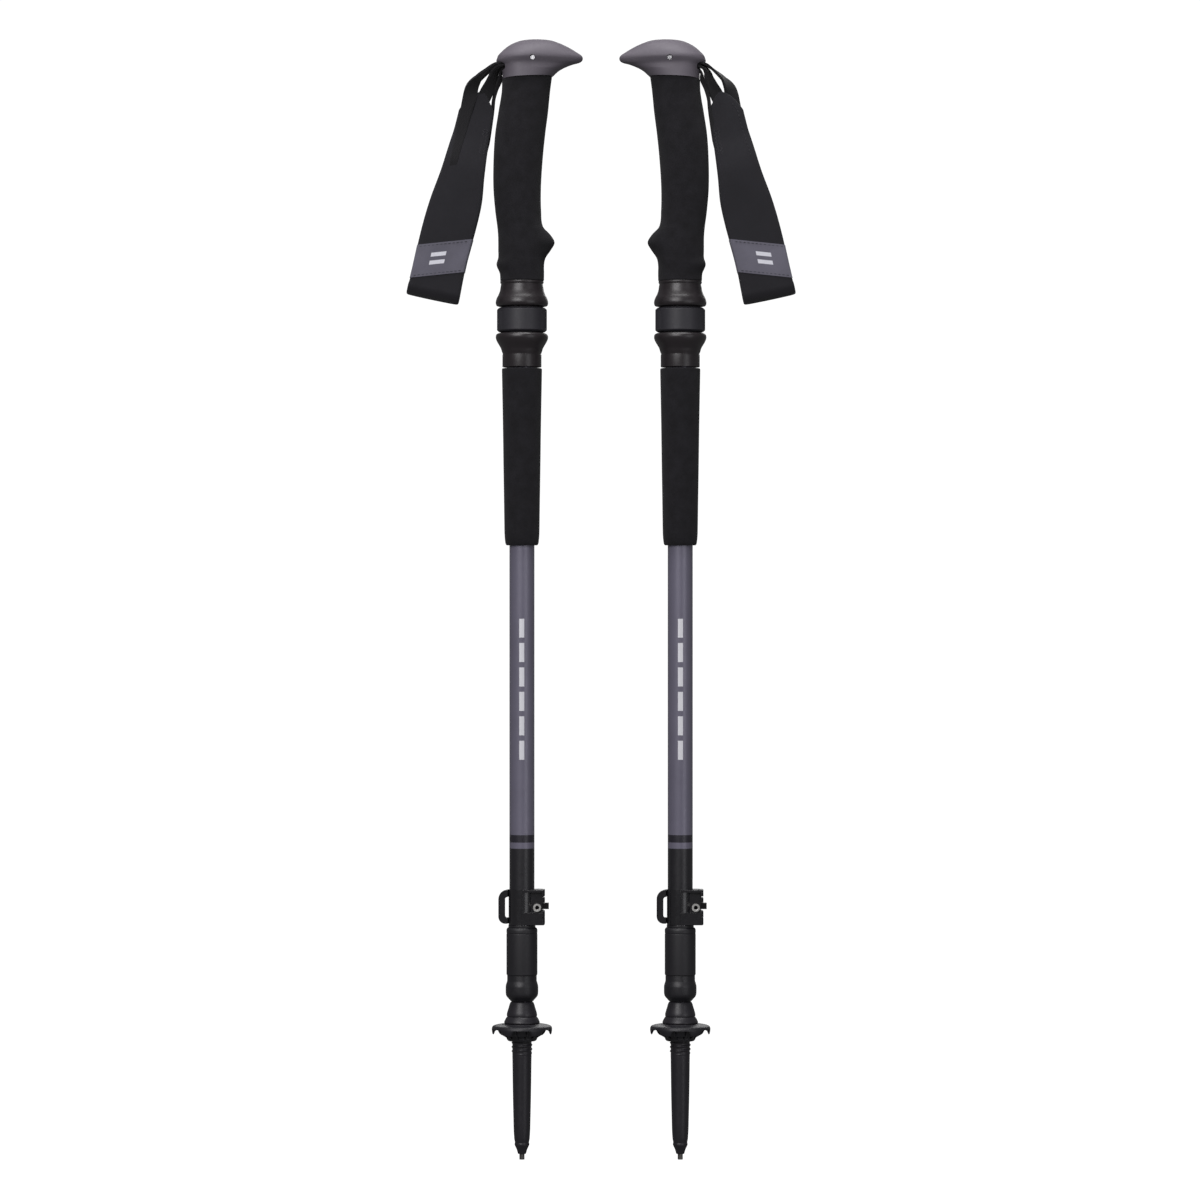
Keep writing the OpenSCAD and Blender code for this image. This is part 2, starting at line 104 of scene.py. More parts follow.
def axis_x(side):
    """Where the pole's axis stands along X, in metres."""
    low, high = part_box(f"{side}_carbide_tip")
    return (low.x + high.x) / 2


def on_pole(side):
    """Pole frame to row frame, for parts that face the same way on both poles."""
    return Matrix.Translation((axis_x(side), 0, 0))


def on_grip(side):
    """Pole frame to row frame, for grip and strap, which are turned half round on the right pole."""
    turn = math.pi if side == "right" else 0
    return on_pole(side) @ Matrix.Rotation(turn, 4, "Z")


# ---------- materials ----------


def srgb(red, green, blue):
    """A display colour, 0 to 255, as the linear colour that a shader takes."""
    linear = [((c / 255 + 0.055) / 1.055) ** 2.4 if c > 10 else c / 255 / 12.92 for c in (red, green, blue)]
    return (*linear, 1.0)


def shade(color, factor):
    return (*[min(1.0, c * factor) for c in color[:3]], 1.0)


class Look:
    """A procedural material: one Principled shader, and the nodes that feed it."""

    def __init__(self, name, **sockets):
        self.material = bpy.data.materials.new(name)
        self.material.use_nodes = True
        self.tree = self.material.node_tree
        self.shader = self.tree.nodes["Principled BSDF"]
        self.normal = None
        for socket, value in sockets.items():
            self.shader.inputs[socket.replace("_", " ")].default_value = value
        self.place = self.tree.nodes.new("ShaderNodeTexCoord").outputs["Object"]

    def feed(self, socket, value):
        if isinstance(value, bpy.types.NodeSocket):
            self.tree.links.new(value, socket)
        else:
            socket.default_value = value

    def node(self, kind, settings=None, **inputs):
        made = self.tree.nodes.new("ShaderNode" + kind)
        for key, value in (settings or {}).items():
            setattr(made, key, value)
        for key, value in inputs.items():
            self.feed(made.inputs[key.replace("_", " ")], value)
        return made

    def math(self, operation, a, b=0.0, c=0.0):
        made = self.node("Math", {"operation": operation})
        for socket, value in zip(made.inputs, (a, b, c)):
            self.feed(socket, value)
        return made.outputs[0]

    def axes(self, vector=None):
        return self.node("SeparateXYZ", Vector=vector or self.place).outputs

    def noise(self, size, detail=2.0, roughness=0.5, vector=None):
        """Noise whose features are about size millimetres across."""
        return self.node(
            "TexNoise", Vector=vector or self.place, Scale=1000 / size, Detail=detail, Roughness=roughness
        ).outputs[0]

    def cells(self, size, vector=None):
        """Distance to the nearest of scattered points about size millimetres apart."""
        return self.node("TexVoronoi", Vector=vector or self.place, Scale=1000 / size).outputs["Distance"]

    def spread(self, value, low, high, to_low=0.0, to_high=1.0):
        return self.node(
            "MapRange", Value=value, From_Min=low, From_Max=high, To_Min=to_low, To_Max=to_high
        ).outputs[0]

    def step(self, value, edge, soft=0.12):
        """0 below edge and 1 above it, with a soft edge, both in millimetres, where value is in metres."""
        return self.spread(value, (edge - soft) * MM, (edge + soft) * MM)

    def mix(self, factor, a, b):
        made = self.node("Mix", {"data_type": "RGBA"})
        self.feed(made.inputs[0], factor)
        self.feed(made.inputs[6], a)
        self.feed(made.inputs[7], b)
        return made.outputs[2]

    def bump(self, height, strength, depth):
        """Adds relief of about depth millimetres."""
        made = self.node("Bump", Height=height, Strength=strength, Distance=depth * MM)
        if self.normal is not None:
            self.feed(made.inputs["Normal"], self.normal)
        self.normal = made.outputs[0]
        self.feed(self.shader.inputs["Normal"], self.normal)

    def color(self, value):
        self.feed(self.shader.inputs["Base Color"], value)

    def base(self):
        """What feeds the base colour so far."""
        return self.shader.inputs["Base Color"].links[0].from_socket

    def between(self, value, low, high):
        """1 where value, in metres, lies from low to high millimetres, and 0 elsewhere."""
        below = self.math("SUBTRACT", 1.0, self.step(value, high))
        return self.math("MULTIPLY", self.step(value, low), below)

    def length(self, a, b):
        squares = self.math("MULTIPLY", a, a), self.math("MULTIPLY", b, b)
        return self.math("SQRT", self.math("ADD", *squares))

    def off_axis(self, x):
        """Distance along X from the axis of the nearer pole."""
        centred = self.math("SUBTRACT", self.math("ABSOLUTE", x), axis_x("right"))
        return self.math("ABSOLUTE", centred)

    def roughness(self, value):
        self.feed(self.shader.inputs["Roughness"], value)


def moulded(name, color, roughness, grain=0.6, relief=0.12, patch=0.1, **sockets):
    """Moulded plastic or rubber: fine grain, faint cloudy patches and handling scuffs."""
    look = Look(name, **sockets)
    fine = look.noise(grain, 3)
    cloud = look.noise(14, 2)
    scuff = look.noise(2.2, 6, 0.7)
    base = look.mix(look.spread(cloud, 0.3, 0.7), shade(color, 1 - patch), shade(color, 1 + patch))
    worn = look.mix(look.spread(scuff, 0.58, 0.74, 0, 0.35), base, shade(color, 1.7))
    look.color(look.mix(look.spread(fine, 0.35, 0.7, 0, 0.25), worn, shade(color, 0.7)))
    look.roughness(look.spread(scuff, 0.3, 0.75, max(roughness - 0.07, 0.05), min(roughness + 0.09, 1)))
    look.bump(fine, relief, 0.12)
    return look


def foam(name, dark, light):
    """Closed-cell EVA foam: matt, with fine open cells, painted shade inside the cells, and soft mottling."""
    look = Look(name, Sheen_Weight=0.05, Sheen_Roughness=0.6, Specular_IOR_Level=0.2)
    pores = look.cells(0.85)
    specks = look.noise(0.4, 3, 0.6)
    mottle = look.noise(7, 4, 0.6)
    base = look.mix(look.spread(mottle, 0.32, 0.68), dark, light)
    base = look.mix(look.spread(specks, 0.6, 0.75, 0, 0.5), base, shade(light, 1.5))
    # painted shade: the colour darkens towards each cell's centre, where the relief dips
    look.color(look.mix(look.spread(pores, 0.0, 0.22, 0.6, 0), base, shade(dark, 0.35)))
    look.roughness(look.spread(specks, 0.3, 0.7, 0.82, 0.96))
    look.bump(look.spread(pores, 0.0, 0.5), 0.35, 0.2)
    look.bump(specks, 0.25, 0.12)
    return look


def metal(name, color, roughness, **sockets):
    """Turned metal with fine rings across the axis and small scratches."""
    look = Look(name, Metallic=1.0, **sockets)
    height = look.axes()[2]
    rings = look.math("SINE", look.math("MULTIPLY", height, 2 * math.pi / (0.28 * MM)))
    scratch = look.noise(0.9, 6, 0.75)
    look.color(look.mix(look.spread(scratch, 0.4, 0.7), color, shade(color, 0.7)))
    look.roughness(look.spread(scratch, 0.3, 0.7, roughness - 0.08, roughness + 0.12))
    look.bump(rings, 0.08, 0.03)
    look.bump(scratch, 0.08, 0.05)
    return look


def weave(look, across, along, pitch_u, pitch_v):
    """Height of a plain weave, from metres across and along the cloth and its pitches in millimetres."""
    warp = look.math("SINE", look.math("MULTIPLY", across, 2 * math.pi / (pitch_u * MM)))
    weft = look.math("SINE", look.math("MULTIPLY", along, 2 * math.pi / (pitch_v * MM)))
    return look.spread(look.math("MULTIPLY", warp, weft), -1, 1)


def cloth(name, color, pitch_u, pitch_v, relief, fuzz=0.3, sheen=0.25):
    """Woven cloth, whose threads follow the UV map, laid out in metres, with painted shade in the hollows
    between threads.
    """
    look = Look(name, Sheen_Weight=sheen, Sheen_Roughness=0.5, Specular_IOR_Level=0.3)
    across, along, _ = look.axes(look.node("UVMap").outputs[0])
    threads = weave(look, across, along, pitch_u, pitch_v)
    lint = look.noise(0.5, 4, 0.7)
    fade = look.noise(18, 3)
    base = look.mix(look.spread(fade, 0.3, 0.7), shade(color, 0.85), shade(color, 1.15))
    # painted shade: darker where the weave dips between threads
    base = look.mix(look.spread(threads, 0, 1, 0.45, 0), base, shade(color, 0.45))
    look.color(look.mix(look.spread(lint, 0.6, 0.8, 0, fuzz), base, shade(color, 2.0)))
    look.roughness(look.spread(threads, 0, 1, 0.95, 0.78))
    look.bump(threads, relief, 0.25)
    look.bump(lint, 0.2, 0.1)
    return look


def paint_shaft(name):
    """The upper shaft's satin paint: grey, two bands, black below, and plain pale dashes in front."""
    grey, stripe, black = srgb(106, 103, 119), srgb(36, 34, 44), srgb(29, 28, 33)
    band_low, band_high, grey_from = 199.2, 203.1, 207.9
    dash_low, dash_high, dash_pitch, dash_share, dash_half = 256, 346, 15.6, 0.78, 1.6
    look = Look(name, Metallic=0.15, Coat_Weight=0.25, Coat_Roughness=0.35)
    x, y, z = look.axes()
    is_grey = look.math("MAXIMUM", look.step(z, grey_from), look.between(z, band_low, band_high))
    flake = look.noise(0.25, 2)
    cloud = look.noise(20, 2)
    painted = look.mix(look.spread(cloud, 0.3, 0.7), shade(grey, 0.95), shade(grey, 1.05))
    painted = look.mix(look.spread(flake, 0.6, 0.75, 0, 0.3), painted, shade(grey, 1.5))
    base = look.mix(is_grey, look.mix(look.step(z, band_high - 0.1), black, stripe), painted)
    narrow = look.math("SUBTRACT", 1.0, look.step(look.off_axis(x), dash_half, 0.1))
    above = look.math("SUBTRACT", z, dash_low * MM)
    turn = look.math("FRACT", look.math("DIVIDE", above, dash_pitch * MM))
    filled = look.math("LESS_THAN", turn, dash_share)
    dash = look.math("MULTIPLY", look.between(z, dash_low, dash_high), filled)
    dash = look.math("MULTIPLY", look.math("MULTIPLY", dash, narrow), look.math("LESS_THAN", y, 0.0))
    look.color(look.mix(dash, base, srgb(222, 222, 228)))
    scuff = look.noise(3, 6, 0.75)
    look.roughness(look.spread(scuff, 0.35, 0.75, 0.34, 0.5))
    look.bump(flake, 0.05, 0.05)
    return look


def anodised(name, color):
    """An inner tube: anodised, with a scale of plain ticks along its front."""
    short_every, long_every, tick_height = 10, 50, 0.5
    short_half, longer_by = 1.3, 1.6
    look = Look(name, Metallic=0.6)
    x, y, z = look.axes()

    def ticks(every):
        place = look.math("FRACT", look.math("DIVIDE", z, every * MM))
        return look.math("LESS_THAN", place, tick_height / every)

    reach = look.math("ADD", short_half * MM, look.math("MULTIPLY", ticks(long_every), longer_by * MM))
    tick = look.math("MULTIPLY", ticks(short_every), look.math("LESS_THAN", look.off_axis(x), reach))
    tick = look.math("MULTIPLY", tick, look.math("LESS_THAN", y, 0.0))
    stretched = look.node("Mapping", Vector=look.place, Scale=(1, 1, 0.03)).outputs[0]
    drawn = look.noise(1.2, 5, 0.7, stretched)
    base = look.mix(look.spread(drawn, 0.3, 0.7), shade(color, 0.8), shade(color, 1.25))
    look.color(look.mix(tick, base, srgb(205, 205, 210)))
    look.roughness(look.spread(drawn, 0.3, 0.7, 0.28, 0.42))
    look.bump(drawn, 0.05, 0.03)
    return look


BAND_SLANT = 0.323


def band_cloth(name):
    """The grey woven band of the strap, with two plain pale bars."""
    bar_starts, bar_height, bar_left, bar_right = (119.4, 124.6), 2.6, -14.0, -4.8
    look = cloth(name, srgb(104, 102, 114), 0.9, 0.9, 0.3, 0.1, 0.15)
    across, along, _ = look.axes(look.node("UVMap").outputs[0])
    slanted = look.math("ADD", along, look.math("MULTIPLY", across, BAND_SLANT))
    mark = 0.0
    for start in bar_starts:
        rise = look.between(slanted, start, start + bar_height)
        run = look.between(across, bar_left, bar_right)
        mark = look.math("MAXIMUM", mark, look.math("MULTIPLY", rise, run))
    look.color(look.mix(mark, look.base(), srgb(214, 214, 222)))
    return look


def screw_steel(name):
    """Bright steel, with painted shade for the socket in the screw's head: a dark disc at the head's middle.
    """
    socket_shade_r = 1.25
    look = metal(name, srgb(232, 231, 228), 0.34)
    x, _, z = look.axes()
    nearest = 1.0
    for side in SIDES:
        low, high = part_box(f"{side}_tension_screw")
        across = look.math("SUBTRACT", x, (low.x + high.x) / 2)
        up = look.math("SUBTRACT", z, (low.z + high.z) / 2)
        nearest = look.math("MINIMUM", nearest, look.length(across, up))
    # painted shade: a dark disc where the screw's socket lies
    look.color(look.mix(look.step(nearest, socket_shade_r), srgb(24, 23, 26), look.base()))
    return look


RUBBER = moulded("head_rubber", srgb(98, 93, 101), 0.55, 0.5, 0.14, 0.05, Specular_IOR_Level=0.3)
FOAM = foam("grip_foam", srgb(21, 20, 23), srgb(30, 29, 33))
COLLAR = moulded(
    "collar_gloss", srgb(34, 29, 32), 0.38, 2.5, 0.03, 0.12, Coat_Weight=0.12, Coat_Roughness=0.35
)
RING = moulded("ring_rubber", srgb(40, 39, 45), 0.52, 0.4, 0.15, 0.06)
STEEL = metal("bright_steel", srgb(205, 205, 208), 0.24)
SCREW = screw_steel("screw_steel")
CARBIDE = metal("carbide_grey", srgb(120, 118, 116), 0.42)
PAINT = paint_shaft("shaft_paint")
TUBE = anodised("anodised_black", srgb(44, 43, 49))
CLAMP = moulded(
    "clamp_black", srgb(25, 24, 28), 0.27, 0.7, 0.05, 0.1, Coat_Weight=0.3, Coat_Roughness=0.2
)
LOCK = moulded("lock_plastic", srgb(26, 25, 30), 0.44, 0.5, 0.12, 0.08)
SLEEVE = moulded("lock_rubber", srgb(27, 26, 31), 0.52, 0.4, 0.2, 0.08)
TIP = moulded("tip_plastic", srgb(32, 30, 36), 0.42, 0.5, 0.1, 0.08)
BASKET = moulded("basket_plastic", srgb(27, 26, 32), 0.46, 0.5, 0.12, 0.08)
INNER = moulded("inner_plastic", srgb(52, 52, 56), 0.5, 0.8, 0.08, 0.08)
BUSH = moulded("bush_plastic", srgb(205, 204, 198), 0.45, 0.8, 0.06, 0.04)
STRAP = cloth("strap_fabric", srgb(32, 31, 36), 0.7, 0.7, 0.25, 0.25, 0.12)
WEBBING = cloth("strap_webbing_weave", srgb(25, 24, 27), 1.1, 1.6, 0.6, 0.15, 0.12)
BAND_WEAVE = band_cloth("strap_band_weave")
THREAD = moulded("stitch_thread", srgb(40, 39, 44), 0.7, 0.3, 0.3, 0.1)


# ---------- meshes ----------


def finish_piece(obj, node, look, body, crease):
    """Shading with creases above an angle, look, the node it stands for and the body it rides on."""
    obj.data.shade_smooth()
    obj.data.set_sharp_from_angle(angle=math.radians(crease))
    obj.data.materials.clear()
    obj.data.materials.append(look.material)
    if node is not None:
        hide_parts(node)
    if body is not None:
        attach(obj, body)


def new_object(name, points, faces, matrix, uv=None):
    """A mesh object from points in millimetres. uv holds one pair of metres a point."""
    mesh = bpy.data.meshes.new(name)
    mesh.from_pydata((np.asarray(points, float) * MM).tolist(), [], faces)
    if uv is not None:
        layer = mesh.uv_layers.new(name="UVMap")
        corners = np.zeros(len(mesh.loops), int)
        mesh.loops.foreach_get("vertex_index", corners)
        layer.data.foreach_set("uv", (np.asarray(uv, float)[corners] * MM).ravel())
    build = bmesh.new()
    build.from_mesh(mesh)
    bmesh.ops.recalc_face_normals(build, faces=build.faces)
    build.to_mesh(mesh)
    build.free()
    obj = bpy.data.objects.new(name, mesh)
    bpy.context.scene.collection.objects.link(obj)
    obj.matrix_world = matrix
    return obj


def ring_faces(m, n, looped):
    """Quads between m rings of n points. The last ring joins the first, or else both ends are capped."""
    faces = []
    for i in range(m if looped else m - 1):
        for k in range(n):
            low, high = i * n, (i + 1) % m * n
            faces.append((low + k, low + (k + 1) % n, high + (k + 1) % n, high + k))
    if not looped:
        faces.append(tuple(range(n - 1, -1, -1)))
        faces.append(tuple(range((m - 1) * n, m * n)))
    return faces


def rings_object(name, rings, matrix, looped=True, uv=None):
    rings = np.asarray(rings, float)
    flat_uv = None if uv is None else np.asarray(uv, float).reshape(-1, 2)
    return new_object(name, rings.reshape(-1, 3), ring_faces(*rings.shape[:2], looped), matrix, flat_uv)


def cluster(name, solids, matrix):
    """One object of many solids, each a list of rings."""
    points, faces = [], []
    for rings in solids:
        rings = np.asarray(rings)
        faces += [tuple(i + len(points) for i in face) for face in ring_faces(*rings.shape[:2], False)]
        points += rings.reshape(-1, 3).tolist()
    return new_object(name, points, faces, matrix)


def hermite(rows, heights):
    """The columns of rows at these heights, on a smooth curve through them. Column 0 is the height."""
    rows = np.asarray(rows, float)
    z = rows[:, 0]
    slopes = np.empty_like(rows[:, 1:])
    slopes[1:-1] = (rows[2:, 1:] - rows[:-2, 1:]) / (z[2:] - z[:-2])[:, None]
    slopes[0] = (rows[1, 1:] - rows[0, 1:]) / (z[1] - z[0])
    slopes[-1] = (rows[-1, 1:] - rows[-2, 1:]) / (z[-1] - z[-2])
    i = np.clip(np.searchsorted(z, heights, "right") - 1, 0, len(z) - 2)
    h = (z[i + 1] - z[i])[:, None]
    t = (np.asarray(heights, float) - z[i])[:, None] / h
    return (
        rows[i, 1:] * (2 * t**3 - 3 * t**2 + 1)
        + slopes[i] * h * (t**3 - 2 * t**2 + t)
        + rows[i + 1, 1:] * (3 * t**2 - 2 * t**3)
        + slopes[i + 1] * h * (t**3 - t**2)
    )


def curve(points, steps):
    """A smooth line through the points, with steps pieces between each two."""
    points = np.asarray(points, float)
    index = np.arange(len(points), dtype=float)
    at = np.linspace(0, len(points) - 1, steps * (len(points) - 1) + 1)
    return hermite(np.column_stack([index, points]), at)


def rounded(outline, radius, steps=4):
    """A closed outline with its corners rounded by up to radius."""
    outline = np.asarray(outline, float)
    made = []
    for i, corner in enumerate(outline):
        before, after = outline[i - 1] - corner, outline[(i + 1) % len(outline)] - corner
        a, b = np.linalg.norm(before), np.linalg.norm(after)
        if np.dot(before, after) / (a * b) < -0.97:
            made.append(corner)
            continue
        cut = min(radius, 0.42 * a, 0.42 * b)
        start, end = corner + before / a * cut, corner + after / b * cut
        for t in np.linspace(0, 1, steps + 1):
            made.append((1 - t) ** 2 * start + 2 * t * (1 - t) * corner + t**2 * end)
    return np.array(made)


def lathe_rings(outline, segments, ripple=None, lift=None):
    """Rings along a closed outline of (r, z). ripple and lift, of (r, z, angle), are added to r and z."""
    angle = np.linspace(0, 2 * math.pi, segments, endpoint=False)
    rings = []
    for r, z in outline:
        radius = r + (ripple(r, z, angle) if ripple else 0 * angle)
        height = z + (lift(r, z, angle) if lift else 0 * angle)
        rings.append(np.column_stack([radius * np.cos(angle), radius * np.sin(angle), height]))
    return rings


def lathe(name, outline, matrix, segments=96, radius=0.25, ripple=None, lift=None):
    return rings_object(name, lathe_rings(rounded(outline, radius), segments, ripple, lift), matrix)


def bake_modifiers(obj):
    """Makes the object's modifiers part of its mesh."""
    baked = bpy.data.meshes.new_from_object(obj.evaluated_get(bpy.context.evaluated_depsgraph_get()))
    obj.modifiers.clear()
    obj.data = baked


def carve(obj, cutters):
    """Cuts the cutters out of the object and removes them."""
    for cutter in cutters:
        cut = obj.modifiers.new("cut", "BOOLEAN")
        cut.operation = "DIFFERENCE"
        cut.solver = "EXACT"
        cut.object = cutter
    bpy.context.view_layer.update()
    bake_modifiers(obj)
    for cutter in cutters:
        bpy.data.objects.remove(cutter)


def softened(node, width, look, body):
    """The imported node's own shape, welded, with its hard edges rounded by up to width millimetres."""
    weld, coplanar, hard_angle, shortest, segments, crease = 2e-6, 1, 30, 0.9, 3, 25
    build = bmesh.new()
    build.from_mesh(NODES[node].data)
    bmesh.ops.remove_doubles(build, verts=build.verts, dist=weld)
    bmesh.ops.dissolve_limit(
        build, angle_limit=math.radians(coplanar), verts=build.verts, edges=build.edges,
        use_dissolve_boundaries=False,
    )
    hard = []
    for edge in build.edges:
        if len(edge.link_faces) != 2 or edge.calc_length() <= shortest * MM:
            continue
        if edge.calc_face_angle(0) > math.radians(hard_angle):
            hard.append(edge)
    bmesh.ops.bevel(
        build, geom=hard, offset=width * MM, segments=segments, profile=0.5,
        affect="EDGES", clamp_overlap=True,
    )
    mesh = bpy.data.meshes.new(node + "_soft")
    build.to_mesh(mesh)
    build.free()
    obj = bpy.data.objects.new(node + "_soft", mesh)
    bpy.context.scene.collection.objects.link(obj)
    finish_piece(obj, node, look, body, crease)
    weighted = obj.modifiers.new("even_shading", "WEIGHTED_NORMAL")
    weighted.keep_sharp = True
    return obj


# ---------- grip ----------

# Sections of the head and the foam: height, back, front, half width and where the section is widest.
HEAD_ROWS = [
    [692.0, -12.4, 19.9, 15.4, 0],
    [696.5, -12.6, 24.8, 15.0, 0],
    [700.2, -13.6, 32.2, 14.4, 0],
    [701.5, -15.6, 36.4, 14.6, 0.5],
    [702.8, -16.4, 38.4, 15.4, 1],
    [704.5, -16.0, 39.0, 16.3, 2],
    [706.3, -15.3, 38.2, 16.1, 3],
    [709.0, -12.8, 34.2, 14.6, 5],
    [712.0, -9.3, 29.0, 12.0, 7],
    [714.5, -4.8, 23.3, 8.8, 8.5],
    [716.1, 0.6, 18.0, 5.4, 9],
    [716.8, 8.4, 9.8, 0.6, 9],
]
DOME_Z = 717.0
FOAM_ROWS = [
    [562.0, -13.9, 14.1, 13.7, 0],
    [567.0, -14.2, 14.2, 13.7, 0],
    [572.5, -16.3, 14.2, 14.0, 0],
    [577.0, -15.2, 15.2, 14.1, 0],
    [582.0, -15.2, 18.6, 14.2, 0],
    [586.7, -15.2, 20.9, 14.2, 0],
    [591.5, -15.3, 18.4, 14.1, 0],
    [597.0, -15.8, 13.5, 14.0, 0],
    [607.0, -17.1, 12.3, 14.1, 0],
    [622.0, -18.3, 12.2, 14.4, 0],
    [640.0, -18.2, 13.3, 14.7, 0],
    [656.0, -17.2, 14.9, 14.7, 0],
    [670.0, -15.1, 16.7, 14.4, 0],
    [683.0, -13.0, 18.0, 14.2, 0],
    [692.0, -12.7, 19.3, 14.4, 0],
]
HEAD_Z = 692.0
JOINT_SLOPE = 0.0575
CORE_R = 10.52
BEAK_BLUNT = 26.0
TRIGGER_BLUNT, TRIGGER_TOP = 14.6, 600
NO_NOSE = 30
PIN = (7.0, 703.7)
MOUTH = (-18.2, 698.0)


def oval(z, row, blunt, power, count):
    """One section of a grip at height z. What reaches further forward than blunt narrows to a nose."""
    back, front, half, middle = row
    angle = np.linspace(0, 2 * math.pi, count, endpoint=False)
    c, s = np.cos(angle), np.sin(angle)
    base = min(front, blunt)
    ahead = (base - middle) * c + (front - base) * np.abs(c) ** power
    x = middle + np.where(c > 0, ahead, (middle - back) * c)
    return np.column_stack([x, half * s, np.full(count, z)])


def tilt_joint(ring, reach=10.0):
    """Slopes the joint between the head and the foam, and fades out away from it."""
    weight = np.clip(1 - abs(ring[0][2] - HEAD_Z) / reach, 0, 1)
    ring[:, 2] += JOINT_SLOPE * weight * ring[:, 0]
    return ring


def rod_object(name, start, end, radius, count=40):
    """A capped rod between two points, in millimetres."""
    start, end = Vector(start), Vector(end)
    turn = (end - start).to_track_quat("Z", "Y").to_matrix()
    angle = np.linspace(0, 2 * math.pi, count, endpoint=False)
    rings = []
    for centre in (start, end):
        rings.append([centre + turn @ Vector((radius * math.cos(a), radius * math.sin(a), 0)) for a in angle])
    return rings_object(name, rings, Matrix.Identity(4), looped=False)


def slot_cutter():
    """The strap's slot: a flat rounded passage from the mouth to the space round the pin."""
    direction = Vector((PIN[0] - MOUTH[0], 0, PIN[1] - MOUTH[1]))
    outline = rounded([(-8.6, -2.5), (8.6, -2.5), (8.6, 2.5), (-8.6, 2.5)], 1.6, 5)
    normal = Vector((-direction.z, 0, direction.x)).normalized()
    rings = []
    for t, grow in ((-0.3, 1.6), (0.02, 1.25), (0.12, 1.0), (1.0, 1.0)):
        centre = Vector((MOUTH[0], 0, MOUTH[1])) + direction * t
        widen = 1 + (grow - 1) * 0.4
        rings.append([centre + Vector((0, a * widen, 0)) + normal * b * grow for a, b in outline])
    return rings_object("slot_cutter", rings, Matrix.Identity(4), looped=False)


def pommel(side):
    """The rubber head, with its beak, the strap's slot and the hole for the pin."""
    rows = np.array(HEAD_ROWS, float)
    rows[:, 0] = -np.sqrt(DOME_Z - rows[:, 0])
    depths = np.linspace(rows[0, 0], rows[-1, 0], 90)
    heights, table = DOME_Z - depths**2, hermite(rows, depths)
    rings = [tilt_joint(oval(z, row, BEAK_BLUNT, 3, 112)) for z, row in zip(heights, table)]
    obj = rings_object(f"{side}_head", rings, Matrix.Identity(4), looped=False)
    cutters = [
        slot_cutter(),
        rod_object("chamber", (PIN[0], -8.6, PIN[1]), (PIN[0], 8.6, PIN[1]), 4.5),
        rod_object("pin_hole", (PIN[0], -30, PIN[1]), (PIN[0], 30, PIN[1]), 1.75),
        rod_object("core_bore", (0, 0, 685), (0, 0, 694.05), CORE_R, 64),
    ]
    carve(obj, cutters)
    obj.matrix_world = on_grip(side)
    finish_piece(obj, f"{side}_pommel", RUBBER, f"{side}_grip", 35)


def foam_grip(side):
    """The foam grip with its finger trigger, round the bore for the core."""
    low, high = FOAM_ROWS[0][0], HEAD_Z
    heights = np.linspace(low, high, 150)
    rings = []
    for z, row in zip(heights, hermite(FOAM_ROWS, heights)):
        blunt = TRIGGER_BLUNT if z < TRIGGER_TOP else NO_NOSE
        rings.append(tilt_joint(oval(z, row, blunt, 4, 96)))
    for end, inward in ((0, 1), (-1, -1)):
        edge = rings[end].copy()
        edge[:, :2] *= 0.965
        rings[end][:, 2] += 0.5 * inward
        rings.insert(0 if end == 0 else len(rings), edge)
    angle = np.linspace(0, 2 * math.pi, 96, endpoint=False)
    for z in (high - 0.2, low):
        bore = np.column_stack([CORE_R * np.cos(angle), CORE_R * np.sin(angle), np.full(96, z)])
        rings.append(tilt_joint(bore) if z > TRIGGER_TOP else bore)
    obj = rings_object(f"{side}_grip_foam", rings, on_grip(side))
    finish_piece(obj, f"{side}_foam_grip", FOAM, f"{side}_grip", 50)


def flared(points, steps=5):
    """The outside of a turned part as a smooth line through (r, z) points."""
    return curve(points, steps).tolist()


def collars(side):
    """The two flared collars of the shock absorber."""
    upper = flared(
        [[15.9, 546.0], [16.45, 546.6], [16.78, 547.8], [16.7, 549.2], [16.1, 551.2], [15.0, 553.3],
         [14.15, 555.6], [13.7, 558.2], [13.4, 560.0]]
    )
    upper = [[14.6, 545.7]] + upper
    upper += [[13.4, 560.3], [13.9, 560.7], [13.9, 562.0], [8.05, 562.0], [8.05, 545.7]]
    obj = lathe(f"{side}_collar_above", upper, on_grip(side))
    finish_piece(obj, f"{side}_grip_collar", COLLAR, f"{side}_grip", 50)
    lower = flared(
        [[12.9, 517.0], [13.5, 519.0], [14.6, 521.0], [15.75, 522.9], [16.55, 524.8], [16.78, 526.2],
         [16.6, 527.4], [16.05, 528.2]]
    )
    lower = [[12.5, 507.0], [12.5, 514.9], [12.25, 515.2], [12.35, 515.6]] + lower
    lower += [[15.3, 528.6], [8.02, 528.6], [8.02, 507.0]]
    obj = lathe(f"{side}_collar_below", lower, on_pole(side))
    finish_piece(obj, f"{side}_shaft_collar", COLLAR, f"{side}_shaft", 50)


